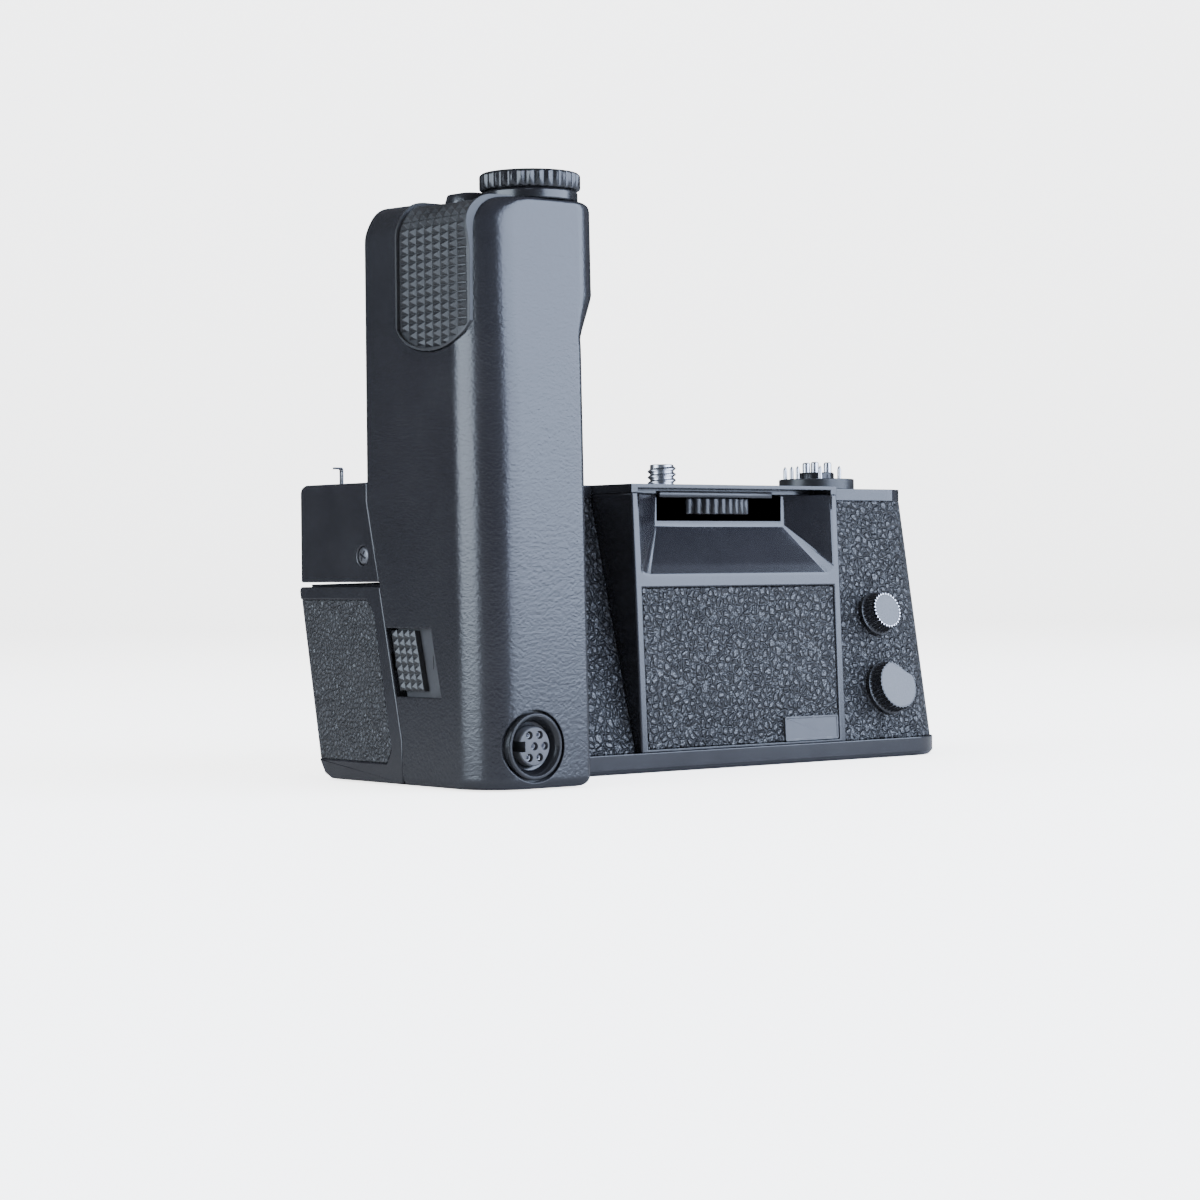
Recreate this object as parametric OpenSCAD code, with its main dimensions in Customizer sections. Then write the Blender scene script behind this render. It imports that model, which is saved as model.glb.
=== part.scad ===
// Motor winder for a 35 mm reflex camera, with a hand grip. Millimetres, +Z up.
// Origin: on the base plane, under the camera screw. The front faces -Y.
// Modules lay pieces out from the left end (X), the base's front line (Y) and the base plane (Z).

/* [Body] */
// Width of the body along the top
body_w = 150.5; // [150:0.5:155]
// Height of the plane on which the camera stands
body_h = 59.2; // [58.5:0.1:61]
// Height of the seam between the end cap and the left casing
seam_z = 39.2; // [38.8:0.1:40]
// Height of the base plate
base_h = 4.1; // [3.8:0.1:4.3]
// Height of the smooth band below the top
band_h = 2.6; // [2.2:0.1:3]
// Front of the body at the base plate
front_low = 1.7; // [1:0.1:2.4]
// Front of the body below the band
front_high = 15.6; // [14.8:0.1:16]
// Rear of the body at the base plane
rear_low = 33.2; // [32.8:0.1:34]
// Rear of the body above the seam
rear_high = 41; // [40.6:0.1:42]
// How far the right end leans in towards the base
end_lean = 4.6; // [4:0.1:5.4]
// Radius of the right end's upright corners
end_r = 8.5; // [7:0.5:10]
// Thickness of the casing walls
wall = 1.3; // [1.1:0.1:1.5]
// Thickness of the leather panels
leather_t = 0.7; // [0.5:0.1:0.9]
// Thickness of the top plate
top_t = 1.8; // [1.6:0.1:2]

/* [Centre frame] */
// Left edge of the frame from the left end
frame_x = 55.9; // [54:0.1:57]
// Width of the frame
frame_w = 57.7; // [56:0.1:59]
// Front of the frame at the top
frame_front_high = 2.4; // [2:0.1:3]
// Front of the frame at the base plate
frame_front_low = -0.1; // [-0.5:0.1:0.3]
// Width of the bars at the sides of the frame
bar_w = 1.7; // [1.4:0.1:2]
// Lower edge of the bar across the frame
bar_low = 37.8; // [37:0.1:38.4]
// Upper edge of the bar across the frame
bar_high = 40.4; // [39.8:0.1:41]
// Position of the window wall at the back of the finger recess
window_y = 8; // [7.4:0.1:8.4]
// Width of the window wall
window_wall_w = 35.8; // [34:0.1:37]
// Width of the wheel window
window_w = 34.4; // [32:0.1:35]

/* [Camera screw] */
// Distance of the screw axis from the left end
screw_x = 84; // [83:0.1:85]
// Distance of the screw axis from the base's front line
screw_y = 26; // [25.5:0.1:26.5]
// Major radius of the quarter-inch thread
screw_r = 3.1; // [3.05:0.01:3.17]
// Height of the screw above the top plate
screw_up = 5.1; // [4.5:0.1:5.5]
// Radius of the thumb wheel
wheel_r = 20.3; // [19.6:0.1:20.5]
// Thickness of the thumb wheel
wheel_t = 3.3; // [3:0.1:3.4]
// Number of ribs round the thumb wheel
wheel_ribs = 60; // [40:1:72]
// Radius of the tapped hole in the tripod bush
tripod_r = 2.55; // [2.5:0.01:2.6]

/* [Grip] */
// Width of the grip's lower part
grip_w = 25.1; // [24:0.1:26]
// Width of the grip's head
head_w = 30.4; // [29.6:0.1:31]
// Front of the grip at the base plane
grip_front = -22.7; // [-23.5:0.1:-22]
// How far the grip's front leans back on its way up
grip_lean = 2.1; // [1.5:0.1:2.5]
// Rear of the grip above the body
grip_rear = 16.3; // [16:0.1:16.6]
// Height of the grip's top
grip_h = 112.4; // [111:0.1:114]
// Height at which the head has its full width
head_z = 94.5; // [93:0.5:96]
// Radius of the grip's front left corner
corner_r = 8.5; // [7.5:0.5:9.5]
// Radius of the edge over the grip's left side
shoulder_r = 6.5; // [5.5:0.5:7]
// Thickness of the grip shell
grip_wall = 1.8; // [1.6:0.1:2]
// Lower edge of the rubber pad
pad_low = 83.4; // [82:0.1:84]
// Width of the rubber pad
pad_w = 23; // [21.6:0.1:24]
// Front edge of the rubber pad
pad_front = -17.3; // [-17.6:0.1:-17]
// Pitch of the pad's pyramids along its height
pyramid_pitch = 1.67; // [1.5:0.01:2]

/* [Release] */
// Radius of the knurled dial
dial_r = 9.9; // [9.4:0.1:10]
// Height of the knurled dial
dial_t = 3.4; // [3:0.1:3.8]
// Height of the collar below the dial
collar_t = 2.2; // [2:0.1:2.6]
// Dial axis from the left end
dial_x = 19.6; // [19.2:0.1:20]
// Dial axis from the base's front line
dial_y = -11.5; // [-11.8:0.1:-11]
// Radius of the release button
button_r = 4.6; // [4:0.1:5]
// Travel of the release button
button_travel = 1.5; // [1:0.1:1.6]

/* [Battery holder] */
// Diameter of a cell
cell_d = 13.6; // [13.5:0.1:13.7]
// Length of a cell
cell_l = 50.2; // [50:0.1:50.5]
// Thickness of the end cap
cap_t = 3; // [2.8:0.1:3.4]
// Inner end of the battery chamber
chamber_end = 110; // [109.6:0.1:110.4]

/* [Front terminals] */
// Radius of the upper terminal cap
cap_upper_r = 4.6; // [4.4:0.1:4.8]
// Radius of the lower terminal cap
cap_lower_r = 5.7; // [5.5:0.1:5.9]
// How far the caps stand out of the leather
cap_out = 4.2; // [4:0.1:4.6]

/* [Coupling] */
// Radius of the contact disc
disc_r = 8.5; // [8:0.1:8.8]
// Height of the contact disc above the top plate
disc_t = 2.5; // [2.2:0.1:2.8]
// Radius of the drive coupler
coupler_r = 4; // [3.8:0.1:4.2]
// Module of the motor pinion and the gear it drives
first_module = 0.4; // [0.4:0.01:0.4]
// Module of the second pair of gears
second_module = 0.5; // [0.5:0.01:0.5]
// Radius of the motor
motor_r = 9.4; // [9:0.1:9.6]
// Length of the motor's can
motor_l = 32; // [30:0.5:33]

/* [Remote socket] */
// Radius of the socket's ring
socket_r = 6.4; // [6:0.1:6.6]
// Radius of the insulator
insert_r = 3.9; // [3.7:0.1:4]

/* [Hidden] */
$fn = 48;

// Clearances
slide_gap = 0.3;
shaft_gap = 0.05;
joint_gap = 0.1;
touch = 0.02;

band_z = body_h - band_h;
split_low = 5;
split_bend_z = 8.7;
split_slope = 0.24;
split_top_z = split_bend_z + (grip_rear - split_low) / split_slope;
frame_end = frame_x + frame_w;
casing_x = cap_t + joint_gap;
left_casing_w = 27;
chamber_low = base_h + 0.9;
chamber_high = seam_z - 1.4;
rear_skin = 1.1;
front_skin = 0.9;
wheel_z = body_h - 6.05;
dial_z = grip_h + collar_t;
coupler_x = body_w - 18.8;
coupler_y = 28;
motor_x = coupler_x - 10.7;
motor_y = 23;
motor_z = chamber_low + touch;

// Front, rear and left parting line of the body at a height
function front_y(z) = front_low + (front_high - front_low) * (min(z,
    band_z) - base_h) / (band_z - base_h);
function rear_y(z) = z >= seam_z ? rear_high : rear_low + (rear_high - rear_low) * z / seam_z;
function split_y(z) = min(grip_rear, split_low + split_slope * max(0, z - split_bend_z));
function right_x(z) = body_w - end_lean * (band_z - min(z, band_z)) / (band_z - base_h);
function frame_y(z) = frame_front_low
    + (frame_front_high - frame_front_low) * (z - base_h) / (body_h - base_h);
function grip_y(z) = grip_front + grip_lean * z / grip_h;

module place() translate([-screw_x, -screw_y, 0]) children();

// A prism along X from a list of [y, z] points
module along_x(x0, x1, pts)
    translate([x0, 0, 0]) rotate([90, 0, 90]) linear_extrude(x1 - x0) polygon(pts);

// A thin level slab whose right corners are round
module end_slab(z, inset, x0, rear) {
    r = end_r - inset;
    x1 = right_x(z) - inset;
    y0 = front_y(z) + inset;
    y1 = rear_y(z) - rear;
    translate([0, 0, z]) linear_extrude(0.01, center = true) union() {
        translate([x0, y0]) square([x1 - r - x0, y1 - y0]);
        translate([x0, y0 + r]) square([x1 - x0, y1 - y0 - 2 * r]);
        translate([x1 - r, y0 + r]) circle(r, $fn = 32);
        translate([x1 - r, y1 - r]) circle(r, $fn = 32);
    }
}

// The body's outer form between two heights, drawn in at the front and the end, and at the rear
module body_form(inset, x0, z0, z1, rear = 0) {
    for (span = [[base_h, seam_z], [seam_z, band_z], [band_z, body_h]])
        if (span[0] < z1 - 0.1 && span[1] > z0 + 0.1) hull() {
            end_slab(max(span[0], z0), inset, x0, rear);
            end_slab(min(span[1], z1), inset, x0, rear);
        }
}

// How far the chamber reaches in front of the parting line
skin_step = 1 - front_skin;

// The battery chamber's section, smaller all round by a gap
module chamber_form(x0, x1, gap) {
    lo = chamber_low + gap;
    hi = chamber_high - gap;
    along_x(x0, x1, [
        [split_y(lo) + gap - skin_step, lo], [split_y(split_bend_z) + gap - skin_step, split_bend_z],
        [split_y(hi) + gap - skin_step, hi], [rear_y(hi) - rear_skin - gap, hi],
        [rear_y(lo) - rear_skin - gap, lo]]);
}

// Where the terminals' axes meet the leather, square to the slope
front_tilt = atan((front_high - front_low) / (band_z - base_h));
upper_at = [body_w - 19.4, 31.1];
lower_at = [body_w - 20.4, 14.8];
module on_front(at) translate([at[0], front_y(at[1]), at[1]]) rotate([90 - front_tilt, 0, 0]) children();

module main_casing() color([0.13, 0.13, 0.15]) place() difference() {
    body_form(leather_t, casing_x, base_h, band_z);
    // room behind the grip and below the left casing
    along_x(-1, grip_w + 0.6, [[-5, 0], [split_low - 1, 0], [split_low - 1, split_bend_z],
        [split_y(seam_z + 1) - 1, seam_z + 1], [-5, seam_z + 1]]);
    translate([-1, -5, seam_z]) cube([left_casing_w + 1 + joint_gap, 60, 30]);
    chamber_form(casing_x - 1, chamber_end, 0);
    // upper bay, open to the rear housing
    along_x(left_casing_w + 1.4, body_w - 8, [[front_y(seam_z) + leather_t + wall, seam_z],
        [front_y(band_z) + leather_t + wall, band_z + 1], [rear_high - 2, band_z + 1], [rear_high - 2,
            seam_z]]);
    translate([31, rear_high - 6, housing_low + 1.2]) cube([housing_end - 32, 10, body_h - housing_low]);
    // slot for the thumb wheel
    translate([screw_x - 19.2, 5, wheel_z - 1.2]) cube([38.4, 20, 10]);
    // motor bay
    intersection() {
        along_x(chamber_end + wall, body_w, [[front_y(base_h) + leather_t + wall, base_h + 0.9],
            [front_y(seam_z) + leather_t + wall, seam_z + 1], [rear_y(seam_z) - wall, seam_z + 1],
            [rear_y(base_h) - wall, base_h + 0.9]]);
        body_form(leather_t + wall, casing_x, base_h, band_z, wall);
    }
    for (at = [upper_at, lower_at]) on_front(at) translate([0, 0, -8]) cylinder(r = 3.05, h = 12);
}

module left_casing() color([0.12, 0.12, 0.14]) place() difference() {
    r = 1.6;
    curve = 3.3;
    low = seam_z + 0.4;
    top = body_h - 0.01;
    front = grip_rear + joint_gap;
    intersection() {
        translate([0, 0, low - 1]) linear_extrude(top - low + 2) union() {
            square([left_casing_w, rear_high - r]);
            translate([r, 0]) square([left_casing_w - 2 * r, rear_high]);
            for (x = [r, left_casing_w - r]) translate([x, rear_high - r]) circle(r);
        }
        along_x(-1, left_casing_w + 1, concat(
            [[split_y(low) + joint_gap, low], [front, split_top_z], [front, top]],
            [for (a = [90:-10:0]) [rear_high - curve * (1 - cos(a)), top - curve * (1 - sin(a))]],
            [[rear_high, low]]));
    }
    translate([wall, grip_rear + wall + 0.8, seam_z - 1])
        cube([left_casing_w, rear_high - grip_rear - 2 * wall - 2.6, body_h - seam_z - 0.8]);
    // recessed screw
    translate([-1, 18.1, 44.8]) rotate([0, 90, 0]) cylinder(r = 1.9, h = 1.7);
    translate([-1, 18.1, 44.8]) rotate([0, 90, 0]) cylinder(r = 1.05, h = 9);
    leaf_slot();
}

module centre_frame() color([0.14, 0.14, 0.16]) place() {
    mid = frame_x + frame_w / 2;
    lip = front_y(base_h) + leather_t - joint_gap;
    difference() {
        along_x(frame_x, frame_end, [[frame_y(base_h), base_h + touch], [frame_y(body_h - top_t),
            body_h - top_t],
            [front_high - joint_gap, body_h - top_t], [front_high + leather_t - joint_gap, band_z],
            [lip, base_h + touch]]);
        // finger recess
        hull() {
            for (x = [frame_x + bar_w + 2.2, frame_end - bar_w - 2.2])
                translate([x, frame_y(bar_high), bar_high + 2.2]) rotate([90, 0, 0]) cylinder(r = 2.2,
                    h = 4);
            for (x = [frame_x + bar_w, frame_end - bar_w - 1])
                translate([x, frame_y(body_h) - 4, body_h - top_t + 1]) cube([1, 4, 0.1]);
            translate([mid - window_wall_w / 2, window_y - 0.1, wheel_z - 2.3])
                cube([window_wall_w, 0.1, body_h - top_t + 3.3 - wheel_z]);
        }
        // window and the space for the wheel behind it
        translate([mid - window_w / 2, window_y - 1, wheel_z - 1.05]) cube([window_w, 12, 10]);
        translate([mid - window_w / 2 - 3, window_y + 1, wheel_z - 1.8]) cube([window_w + 6, 12,
            body_h - wheel_z + 1.8]);
        // seat of the leather panel
        along_x(frame_x + bar_w + 0.3, frame_end - bar_w - 0.3, [[frame_y(base_h) - 2, base_h + 0.6],
            [frame_y(base_h + 0.6) + leather_t, base_h + 0.6], [frame_y(bar_low) + leather_t, bar_low],
            [frame_y(bar_low) - 2, bar_low]]);
        // hollow back
        along_x(frame_x + 1.6, frame_end - 1.6, [[frame_y(base_h) + 2.4, 12], [frame_y(bar_low) + 2.4,
            bar_low],
            [front_y(bar_low) + 3, bar_low], [front_y(12) + 3, 12]]);
    }
}

module top_plate() color([0.14, 0.14, 0.16]) place() difference() {
    union() {
        body_form(0, left_casing_w + joint_gap, body_h - top_t, body_h);
        translate([frame_x, frame_y(body_h), body_h - top_t + touch])
            cube([frame_w, front_high - frame_y(body_h) + 4, top_t - touch]);
        difference() {
            body_form(0, left_casing_w + joint_gap, band_z, body_h);
            translate([left_casing_w + 1.3, front_high + 1.2, band_z - 1])
                cube([body_w - end_r - left_casing_w - 1.3, rear_high - front_high - 2.4, 8]);
            translate([left_casing_w + 1.3, front_high + end_r, band_z - 1])
                cube([body_w - left_casing_w - 2.6, rear_high - front_high - 2 * end_r, 8]);
            translate([frame_x - touch, front_high - 2, band_z - 1])
                cube([frame_w + 2 * touch, 6, band_h - top_t + 1]);
        }
    }
    translate([screw_x, screw_y, body_h - 4]) cylinder(r = screw_r + 0.15, h = 8);
    translate([coupler_x, coupler_y, body_h - 4]) cylinder(r = coupler_r + 0.3, h = 8);
    // reliefs for the sprung pins
    for (at = pin_at) translate([coupler_x + at[0], coupler_y + at[1], body_h - 4]) cylinder(r = 0.7,
        h = 8);
    // roof of the finger recess
    translate([frame_x + bar_w, frame_y(body_h) - 1, body_h - top_t - 1]) cube([frame_w - 2 * bar_w,
        window_y - frame_y(body_h) + 1, 2]);
}

module base_plate() color([0.13, 0.13, 0.15]) place() difference() {
    x0 = grip_w + 0.3;
    x1 = right_x(base_h) + 0.3;
    y0 = -0.8;
    y1 = rear_y(base_h) + 0.4;
    front_r = end_r + 3.5;
    rear_r = end_r + 0.7;
    union() {
        hull() for (e = [[0.9, 0], [0, 0.9], [0, base_h - 0.02]])
            translate([0, 0, e[1]]) linear_extrude(0.01) union() {
                translate([x0, y0 + e[0]]) square([x1 - front_r - x0, y1 - y0 - 2 * e[0]]);
                translate([x1 - front_r, y0 + front_r]) circle(front_r - e[0], $fn = 32);
                translate([x1 - rear_r, y1 - rear_r]) circle(rear_r - e[0], $fn = 32);
            }
        translate([casing_x, split_low + 0.3, 0.02]) cube([x0 - casing_x + 1,
            rear_low - split_low - 0.4, base_h - 0.04]);
    }
    translate([screw_x, screw_y, -1]) cylinder(r = 5 + shaft_gap, h = base_h + 2);
}

rear_out = rear_high + 6.7;
rear_in = rear_high + 5.5;
control_z = wheel_z - 5.6;
housing_low = 40.4;
housing_high = body_h - 0.8;
housing_end = body_w - 11;
module rear_housing() color([0.13, 0.13, 0.15]) place() difference() {
    along_x(30, housing_end, [[rear_high + touch, housing_low], [rear_out - 1, housing_low],
        [rear_out, housing_low + 1], [rear_out, housing_high - 2.6], [rear_out - 2, housing_high],
        [rear_high + touch, housing_high]]);
    translate([31.4, rear_high - 1, housing_low + 1.2])
        cube([housing_end - 32.8, rear_in - rear_high + 1, housing_high - housing_low - 2.7]);
    translate([counter_x, rear_high, control_z]) rotate([-90, 0, 0]) cylinder(r = counter_r + 0.3, h = 9);
    translate([lever_x, rear_high, control_z]) rotate([-90, 0, 0]) cylinder(r = 1.5 + shaft_gap, h = 9);
    translate([check_x, rear_high, control_z]) rotate([-90, 0, 0]) cylinder(r = 2.2 + shaft_gap, h = 9);
    for (x = lamp_x) translate([x, rear_high, control_z]) rotate([-90, 0, 0]) cylinder(r = 1.2, h = 9);
}

module leather_left() color([0.15, 0.15, 0.17]) place()
    along_x(grip_w + 0.4, frame_x - 0.1, [
        [front_y(base_h), base_h], [front_y(band_z), band_z - 0.05],
        [front_y(band_z) + leather_t - touch, band_z - 0.05], [front_y(base_h) + leather_t - touch,
            base_h]]);

module leather_centre() color([0.15, 0.15, 0.17]) place()
    along_x(frame_x + bar_w + 0.4, frame_end - bar_w - 0.4, [
        [frame_y(base_h + 0.7) + 0.2, base_h + 0.7], [frame_y(bar_low - 0.1) + 0.2, bar_low - 0.1],
        [frame_y(bar_low - 0.1) + leather_t - touch, bar_low - 0.1],
        [frame_y(base_h + 0.7) + leather_t - touch, base_h + 0.7]]);

// Level outline of the right end at the base, its front corner round, drawn in by an inset
module end_outline(inset) {
    r = end_r - inset;
    x1 = right_x(base_h) - inset;
    y0 = front_low + inset;
    translate([x1 - r, y0 + r]) circle(r);
    translate([60, y0]) square([x1 - r - 60, 60]);
    translate([60, y0 + r]) square([x1 - 60, 60]);
}

module leather_right() color([0.15, 0.15, 0.17]) place() difference() {
    rise = band_z - base_h;
    lean_x = end_lean / rise;
    lean_y = (front_high - front_low) / rise;
    multmatrix([[1, 0, lean_x, -lean_x * base_h], [0, 1, lean_y, -lean_y * base_h], [0, 0, 1, 0], [0, 0,
        0, 1]])
        translate([0, 0, base_h + touch]) linear_extrude(rise - 0.07) difference() {
            end_outline(0);
            end_outline(leather_t - touch);
        }
    translate([frame_end - 80, -10, -1]) cube([80.1, 120, 80]);
    translate([frame_end - 10, 27.5, -1]) cube([60, 90, 80]);
    for (at = [upper_at, lower_at]) on_front(at) translate([0, 0, -3]) cylinder(r = 3.2, h = 6);
}

module name_plate() color([0.5, 0.5, 0.52]) place()
    along_x(frame_end - bar_w - 17.4, frame_end - bar_w - 2, [[frame_y(4.8) - 0.25, 4.8],
        [frame_y(9.95) - 0.25, 9.95], [frame_y(9.95) + 0.2, 9.95], [frame_y(4.8) + 0.2, 4.8]]);

// Level outline of the grip, drawn in all round but at the rear
module grip_plan(width, left_r, right_r, shell) {
    l = left_r - shell;
    r = max(0.5, right_r - shell);
    x1 = width - shell;
    y0 = grip_front + shell;
    translate([shell + l, y0 + l]) circle(l);
    translate([x1 - r, y0 + r]) circle(r);
    translate([shell, y0 + l]) square([x1 - r - shell, 60]);
    translate([shell + l, y0 + r]) square([x1 - shell - l, 60]);
    translate([shell + l, y0]) square([x1 - r - shell - l, 60]);
}

// The grip's front profile: a round shoulder on the left and a small radius on the right
module grip_profile(shell) {
    l = shoulder_r - shell;
    r = max(0.5, 2 - shell);
    x1 = head_w - shell;
    top = grip_h - shell;
    low = 0.3 + shell;
    translate([shell + l, top - l]) circle(l);
    translate([x1 - r, top - r]) circle(r);
    translate([shell, low + 1]) square([x1 - shell, top - l - low - 1]);
    translate([shell + l, low]) square([x1 - shell - l, top - r - low]);
    translate([shell + l, top - 8]) square([x1 - r - shell - l, 8]);
    polygon([[shell + 1, low], [shell + 12, low], [shell + 12, low + 2], [shell, low + 2], [shell,
        low + 1]]);
}

// The grip's form; shell is 0 outside and the wall thickness inside
module grip_form(shell, rear) intersection() {
    multmatrix([[1, 0, 0, 0], [0, 1, grip_lean / grip_h, 0], [0, 0, 1, 0], [0, 0, 0, 1]]) {
        translate([0, 0, -1]) linear_extrude(grip_h + 2) grip_plan(grip_w, corner_r, 1.75, shell);
        intersection() {
            translate([0, 0, 60]) linear_extrude(grip_h - 58) grip_plan(head_w, corner_r, 6.6, shell);
            translate([-shell, 60, 0]) rotate([90, 0, 0]) linear_extrude(100) polygon([
                [2 * grip_w - head_w, head_z - 17], [2 * head_w - grip_w, head_z + 8.5],
                [2 * head_w - grip_w, 130], [-5, 130], [-5, head_z - 17]]);
        }
    }
    translate([0, rear, 0]) rotate([90, 0, 0]) linear_extrude(60) grip_profile(shell);
}

module grip_shell() color([0.17, 0.17, 0.19]) place() difference() {
    union() {
        intersection() {
            grip_form(0, grip_rear - joint_gap);
            union() {
                along_x(-1, 40, [[-40, -1], [split_low - 0.05, -1], [split_low - 0.05, split_bend_z],
                    [grip_rear - 0.05, split_top_z], [grip_rear - 0.05, body_h + 0.2], [grip_rear + 1,
                        body_h + 0.2],
                    [grip_rear + 1, 130], [-40, 130]]);
            }
        }
        // hump behind the dial
        translate([15.5, 2, grip_h - 0.5]) cylinder(r1 = 5.3, r2 = 4, h = 3.2);
    }
    // hollow
    difference() {
        grip_form(grip_wall, grip_rear + 1);
        translate([dial_x, dial_y, grip_h - 8]) cylinder(r = 6.4, h = 9);
        translate([socket_at[0], grip_y(8) + 1, socket_at[1]]) rotate([-90, 0, 0]) cylinder(r = 6.9,
            h = 9);
    }
    // back of the shell, behind which the casing's wall or the back cover lies
    along_x(grip_wall + 0.05, 40, [[split_low - 1, -1], [split_low - 1, split_bend_z],
        [grip_rear - 1, split_top_z], [grip_rear - 1, body_h + 0.1], [30, body_h + 0.1], [30, -1]]);
    // window for the battery latch
    along_x(-1, grip_wall + 1, window_pts);
    // dial and button
    translate([dial_x, dial_y, grip_h - 9]) cylinder(r = 1.9, h = 20);
    translate([dial_x, dial_y, grip_h - 2]) cylinder(r = button_r + 0.4, h = 20);
    // remote socket
    translate([socket_at[0], grip_front - 1, socket_at[1]]) rotate([-90, 0, 0])
        cylinder(r = socket_r + 0.5, h = 2.7);
    translate([socket_at[0], grip_front - 1, socket_at[1]]) rotate([-90, 0, 0])
        cylinder(r = insert_r + 1, h = 16);
    // seat of the rubber pad
    pad_seat(0);
}

// Window in the left side of the grip
window_pts = [[split_y(30.7) + 1, 30.7], [-4.6, 30.7], [-7.9, 17.4], [split_y(17.4) + 1, 17.4]];
// Centre of the remote socket
socket_at = [11.2, 8.4];

// The rubber pad's form on the grip's side: an arch-ended strip that runs over the shoulder
module pad_seat(gap) {
    mid = pad_front + pad_w / 2;
    intersection() {
        union() {
            translate([-1, mid, pad_low + 6.4]) rotate([0, 90, 0]) scale([6.4 / 11.5, 1, 1])
                cylinder(r = 11.5 - gap, h = 14);
            translate([-1, pad_front + gap, pad_low + 6.4]) cube([14, pad_w - 2 * gap, 40]);
        }
        difference() {
            translate([-1, -30, 60]) cube([12, 60, 60]);
            pad_core(0.9);
        }
    }
}

// Solid that the pad lies on, inside the grip's left side and shoulder by a depth
module pad_core(depth) {
    r = shoulder_r - depth;
    translate([depth, -40, 50]) cube([60, 80, grip_h - shoulder_r - 50]);
    translate([depth + r, -40, grip_h - shoulder_r]) rotate([-90, 0, 0]) cylinder(r = r, h = 80);
    translate([depth + r, -40, 60]) cube([60, 80, grip_h - depth - 60]);
}

module grip_pad() color([0.1, 0.1, 0.11]) place() difference() {
    intersection() {
        pad_seat(0.25);
        union() {
            pad_core(-0.35);
        }
    }
    // grooves across, which leave rows of pyramids
    for (z = [pad_low + 1.2:pyramid_pitch:grip_h - shoulder_r + 1])
        translate([-0.36, -30, z]) rotate([-90, 0, 0]) cylinder(r = 0.55, h = 60, $fn = 4);
    for (k = [1:7])
        translate([-0.36, pad_front + k * pad_w / 8, pad_low - 2]) cylinder(r = 0.6,
            h = grip_h - shoulder_r - pad_low + 3, $fn = 4);
    translate([8.9, -40, 60]) cube([10, 80, 80]);
}

module grip_back() color([0.15, 0.15, 0.17]) place() {
    x0 = grip_wall + 0.1;
    top = grip_h - grip_wall - 0.1;
    bend = head_z - 8.5;
    wide = head_w - grip_wall - 0.1;
    slim = grip_w - grip_wall - 0.1;
    translate([0, grip_rear - 0.2, 0]) rotate([90, 0, 0]) linear_extrude(1.6) polygon([
        [x0, body_h + 0.3], [slim, body_h + 0.3], [slim, bend], [wide, head_z], [wide, top - 2.4],
            [wide - 2.4, top],
        [x0 + 4.6, top], [x0 + 1.3, top - 1.8], [x0, top - 5.2]]);
}

module dial_collar() color([0.1, 0.1, 0.11]) place() translate([dial_x, dial_y, grip_h + touch])
    difference() {
    union() {
        cylinder(r = dial_r - 0.9, h = collar_t - touch - 0.05);
        cylinder(r = 6.4, h = collar_t + 1.6);
    }
    translate([0, 0, -1]) cylinder(r = button_r + shaft_gap, h = 10);
}

module mode_ring() color([0.09, 0.09, 0.1]) place() translate([dial_x, dial_y, dial_z]) difference() {
    cylinder(r = dial_r - 0.4, h = dial_t);
    translate([0, 0, -1]) cylinder(r = 6.4 + shaft_gap, h = 2.7);
    translate([0, 0, -1]) cylinder(r = button_r + 0.5, h = 8);
    for (a = [0:360 / 24:359]) rotate(a) translate([dial_r, 0, -1]) cylinder(r = 0.75, h = 8, $fn = 16);
}

module release_button() color([0.2, 0.2, 0.21]) place() translate([dial_x, dial_y, 0]) {
    translate([0, 0, grip_h + 0.6]) cylinder(r = button_r, h = collar_t + dial_t - 1.4);
    translate([0, 0, grip_h - 6]) cylinder(r = 1.6, h = 7);
}

module release_spring() color([0.6, 0.6, 0.62]) place() translate([dial_x, dial_y, grip_h - 2 + touch])
    difference() {
    cylinder(r = 3.4, h = 2.5);
    translate([0, 0, -1]) cylinder(r = 2.7, h = 5);
}

module release_switch() color([0.25, 0.25, 0.3]) place()
    translate([dial_x - 5, dial_y - 3, grip_h - 14]) cube([10, 6, 5.9]);

module grip_board() color([0.1, 0.3, 0.18]) place() {
    translate([5, -15.5, grip_h - 15.2]) cube([20, grip_rear - 1.8 + 15.5 - touch, 1.2]);
    translate([9, dial_y + 3.6, 34]) cube([8, 1.2, grip_h - 15.2 - 34 + touch]);
}

module socket_ring() color([0.2, 0.2, 0.21]) place()
    translate([socket_at[0], grip_y(socket_at[1]) - 0.15, socket_at[1]]) rotate([-90, 0, 0])
        difference() {
        union() {
            cylinder(r = socket_r, h = 1.69);
            cylinder(r = insert_r + 0.95, h = 6);
        }
        translate([0, 0, -0.01]) cylinder(r1 = socket_r - 0.7, r2 = insert_r + 0.3, h = 1.3);
        translate([0, 0, -1]) cylinder(r = insert_r + 0.01, h = 9);
    }

contact_at = [for (a = [60, 120, 240, 300, 0]) [2.45 * cos(a), 2.45 * sin(a)]];
module socket_insert() color([0.4, 0.4, 0.42]) place()
    translate([socket_at[0], grip_y(socket_at[1]) + 0.3, socket_at[1]]) rotate([-90, 0, 0]) difference() {
        cylinder(r = insert_r, h = 6);
        for (c = concat(contact_at, [[0, 0]])) translate([c[0], c[1], -1]) cylinder(r = 0.7, h = 5);
        translate([-insert_r - 1, -1.1, -1]) cube([2.6, 2.2, 3]);
    }

module socket_contacts() color([0.7, 0.66, 0.5]) place()
    translate([socket_at[0], grip_y(socket_at[1]) + 0.3, socket_at[1]]) rotate([-90, 0, 0])
        for (c = concat(contact_at, [[0, 0]])) translate([c[0], c[1], 0.6]) difference() {
            cylinder(r = 0.68, h = 3.38);
            translate([0, 0, -1]) cylinder(r = 0.35, h = 3);
        }

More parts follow.
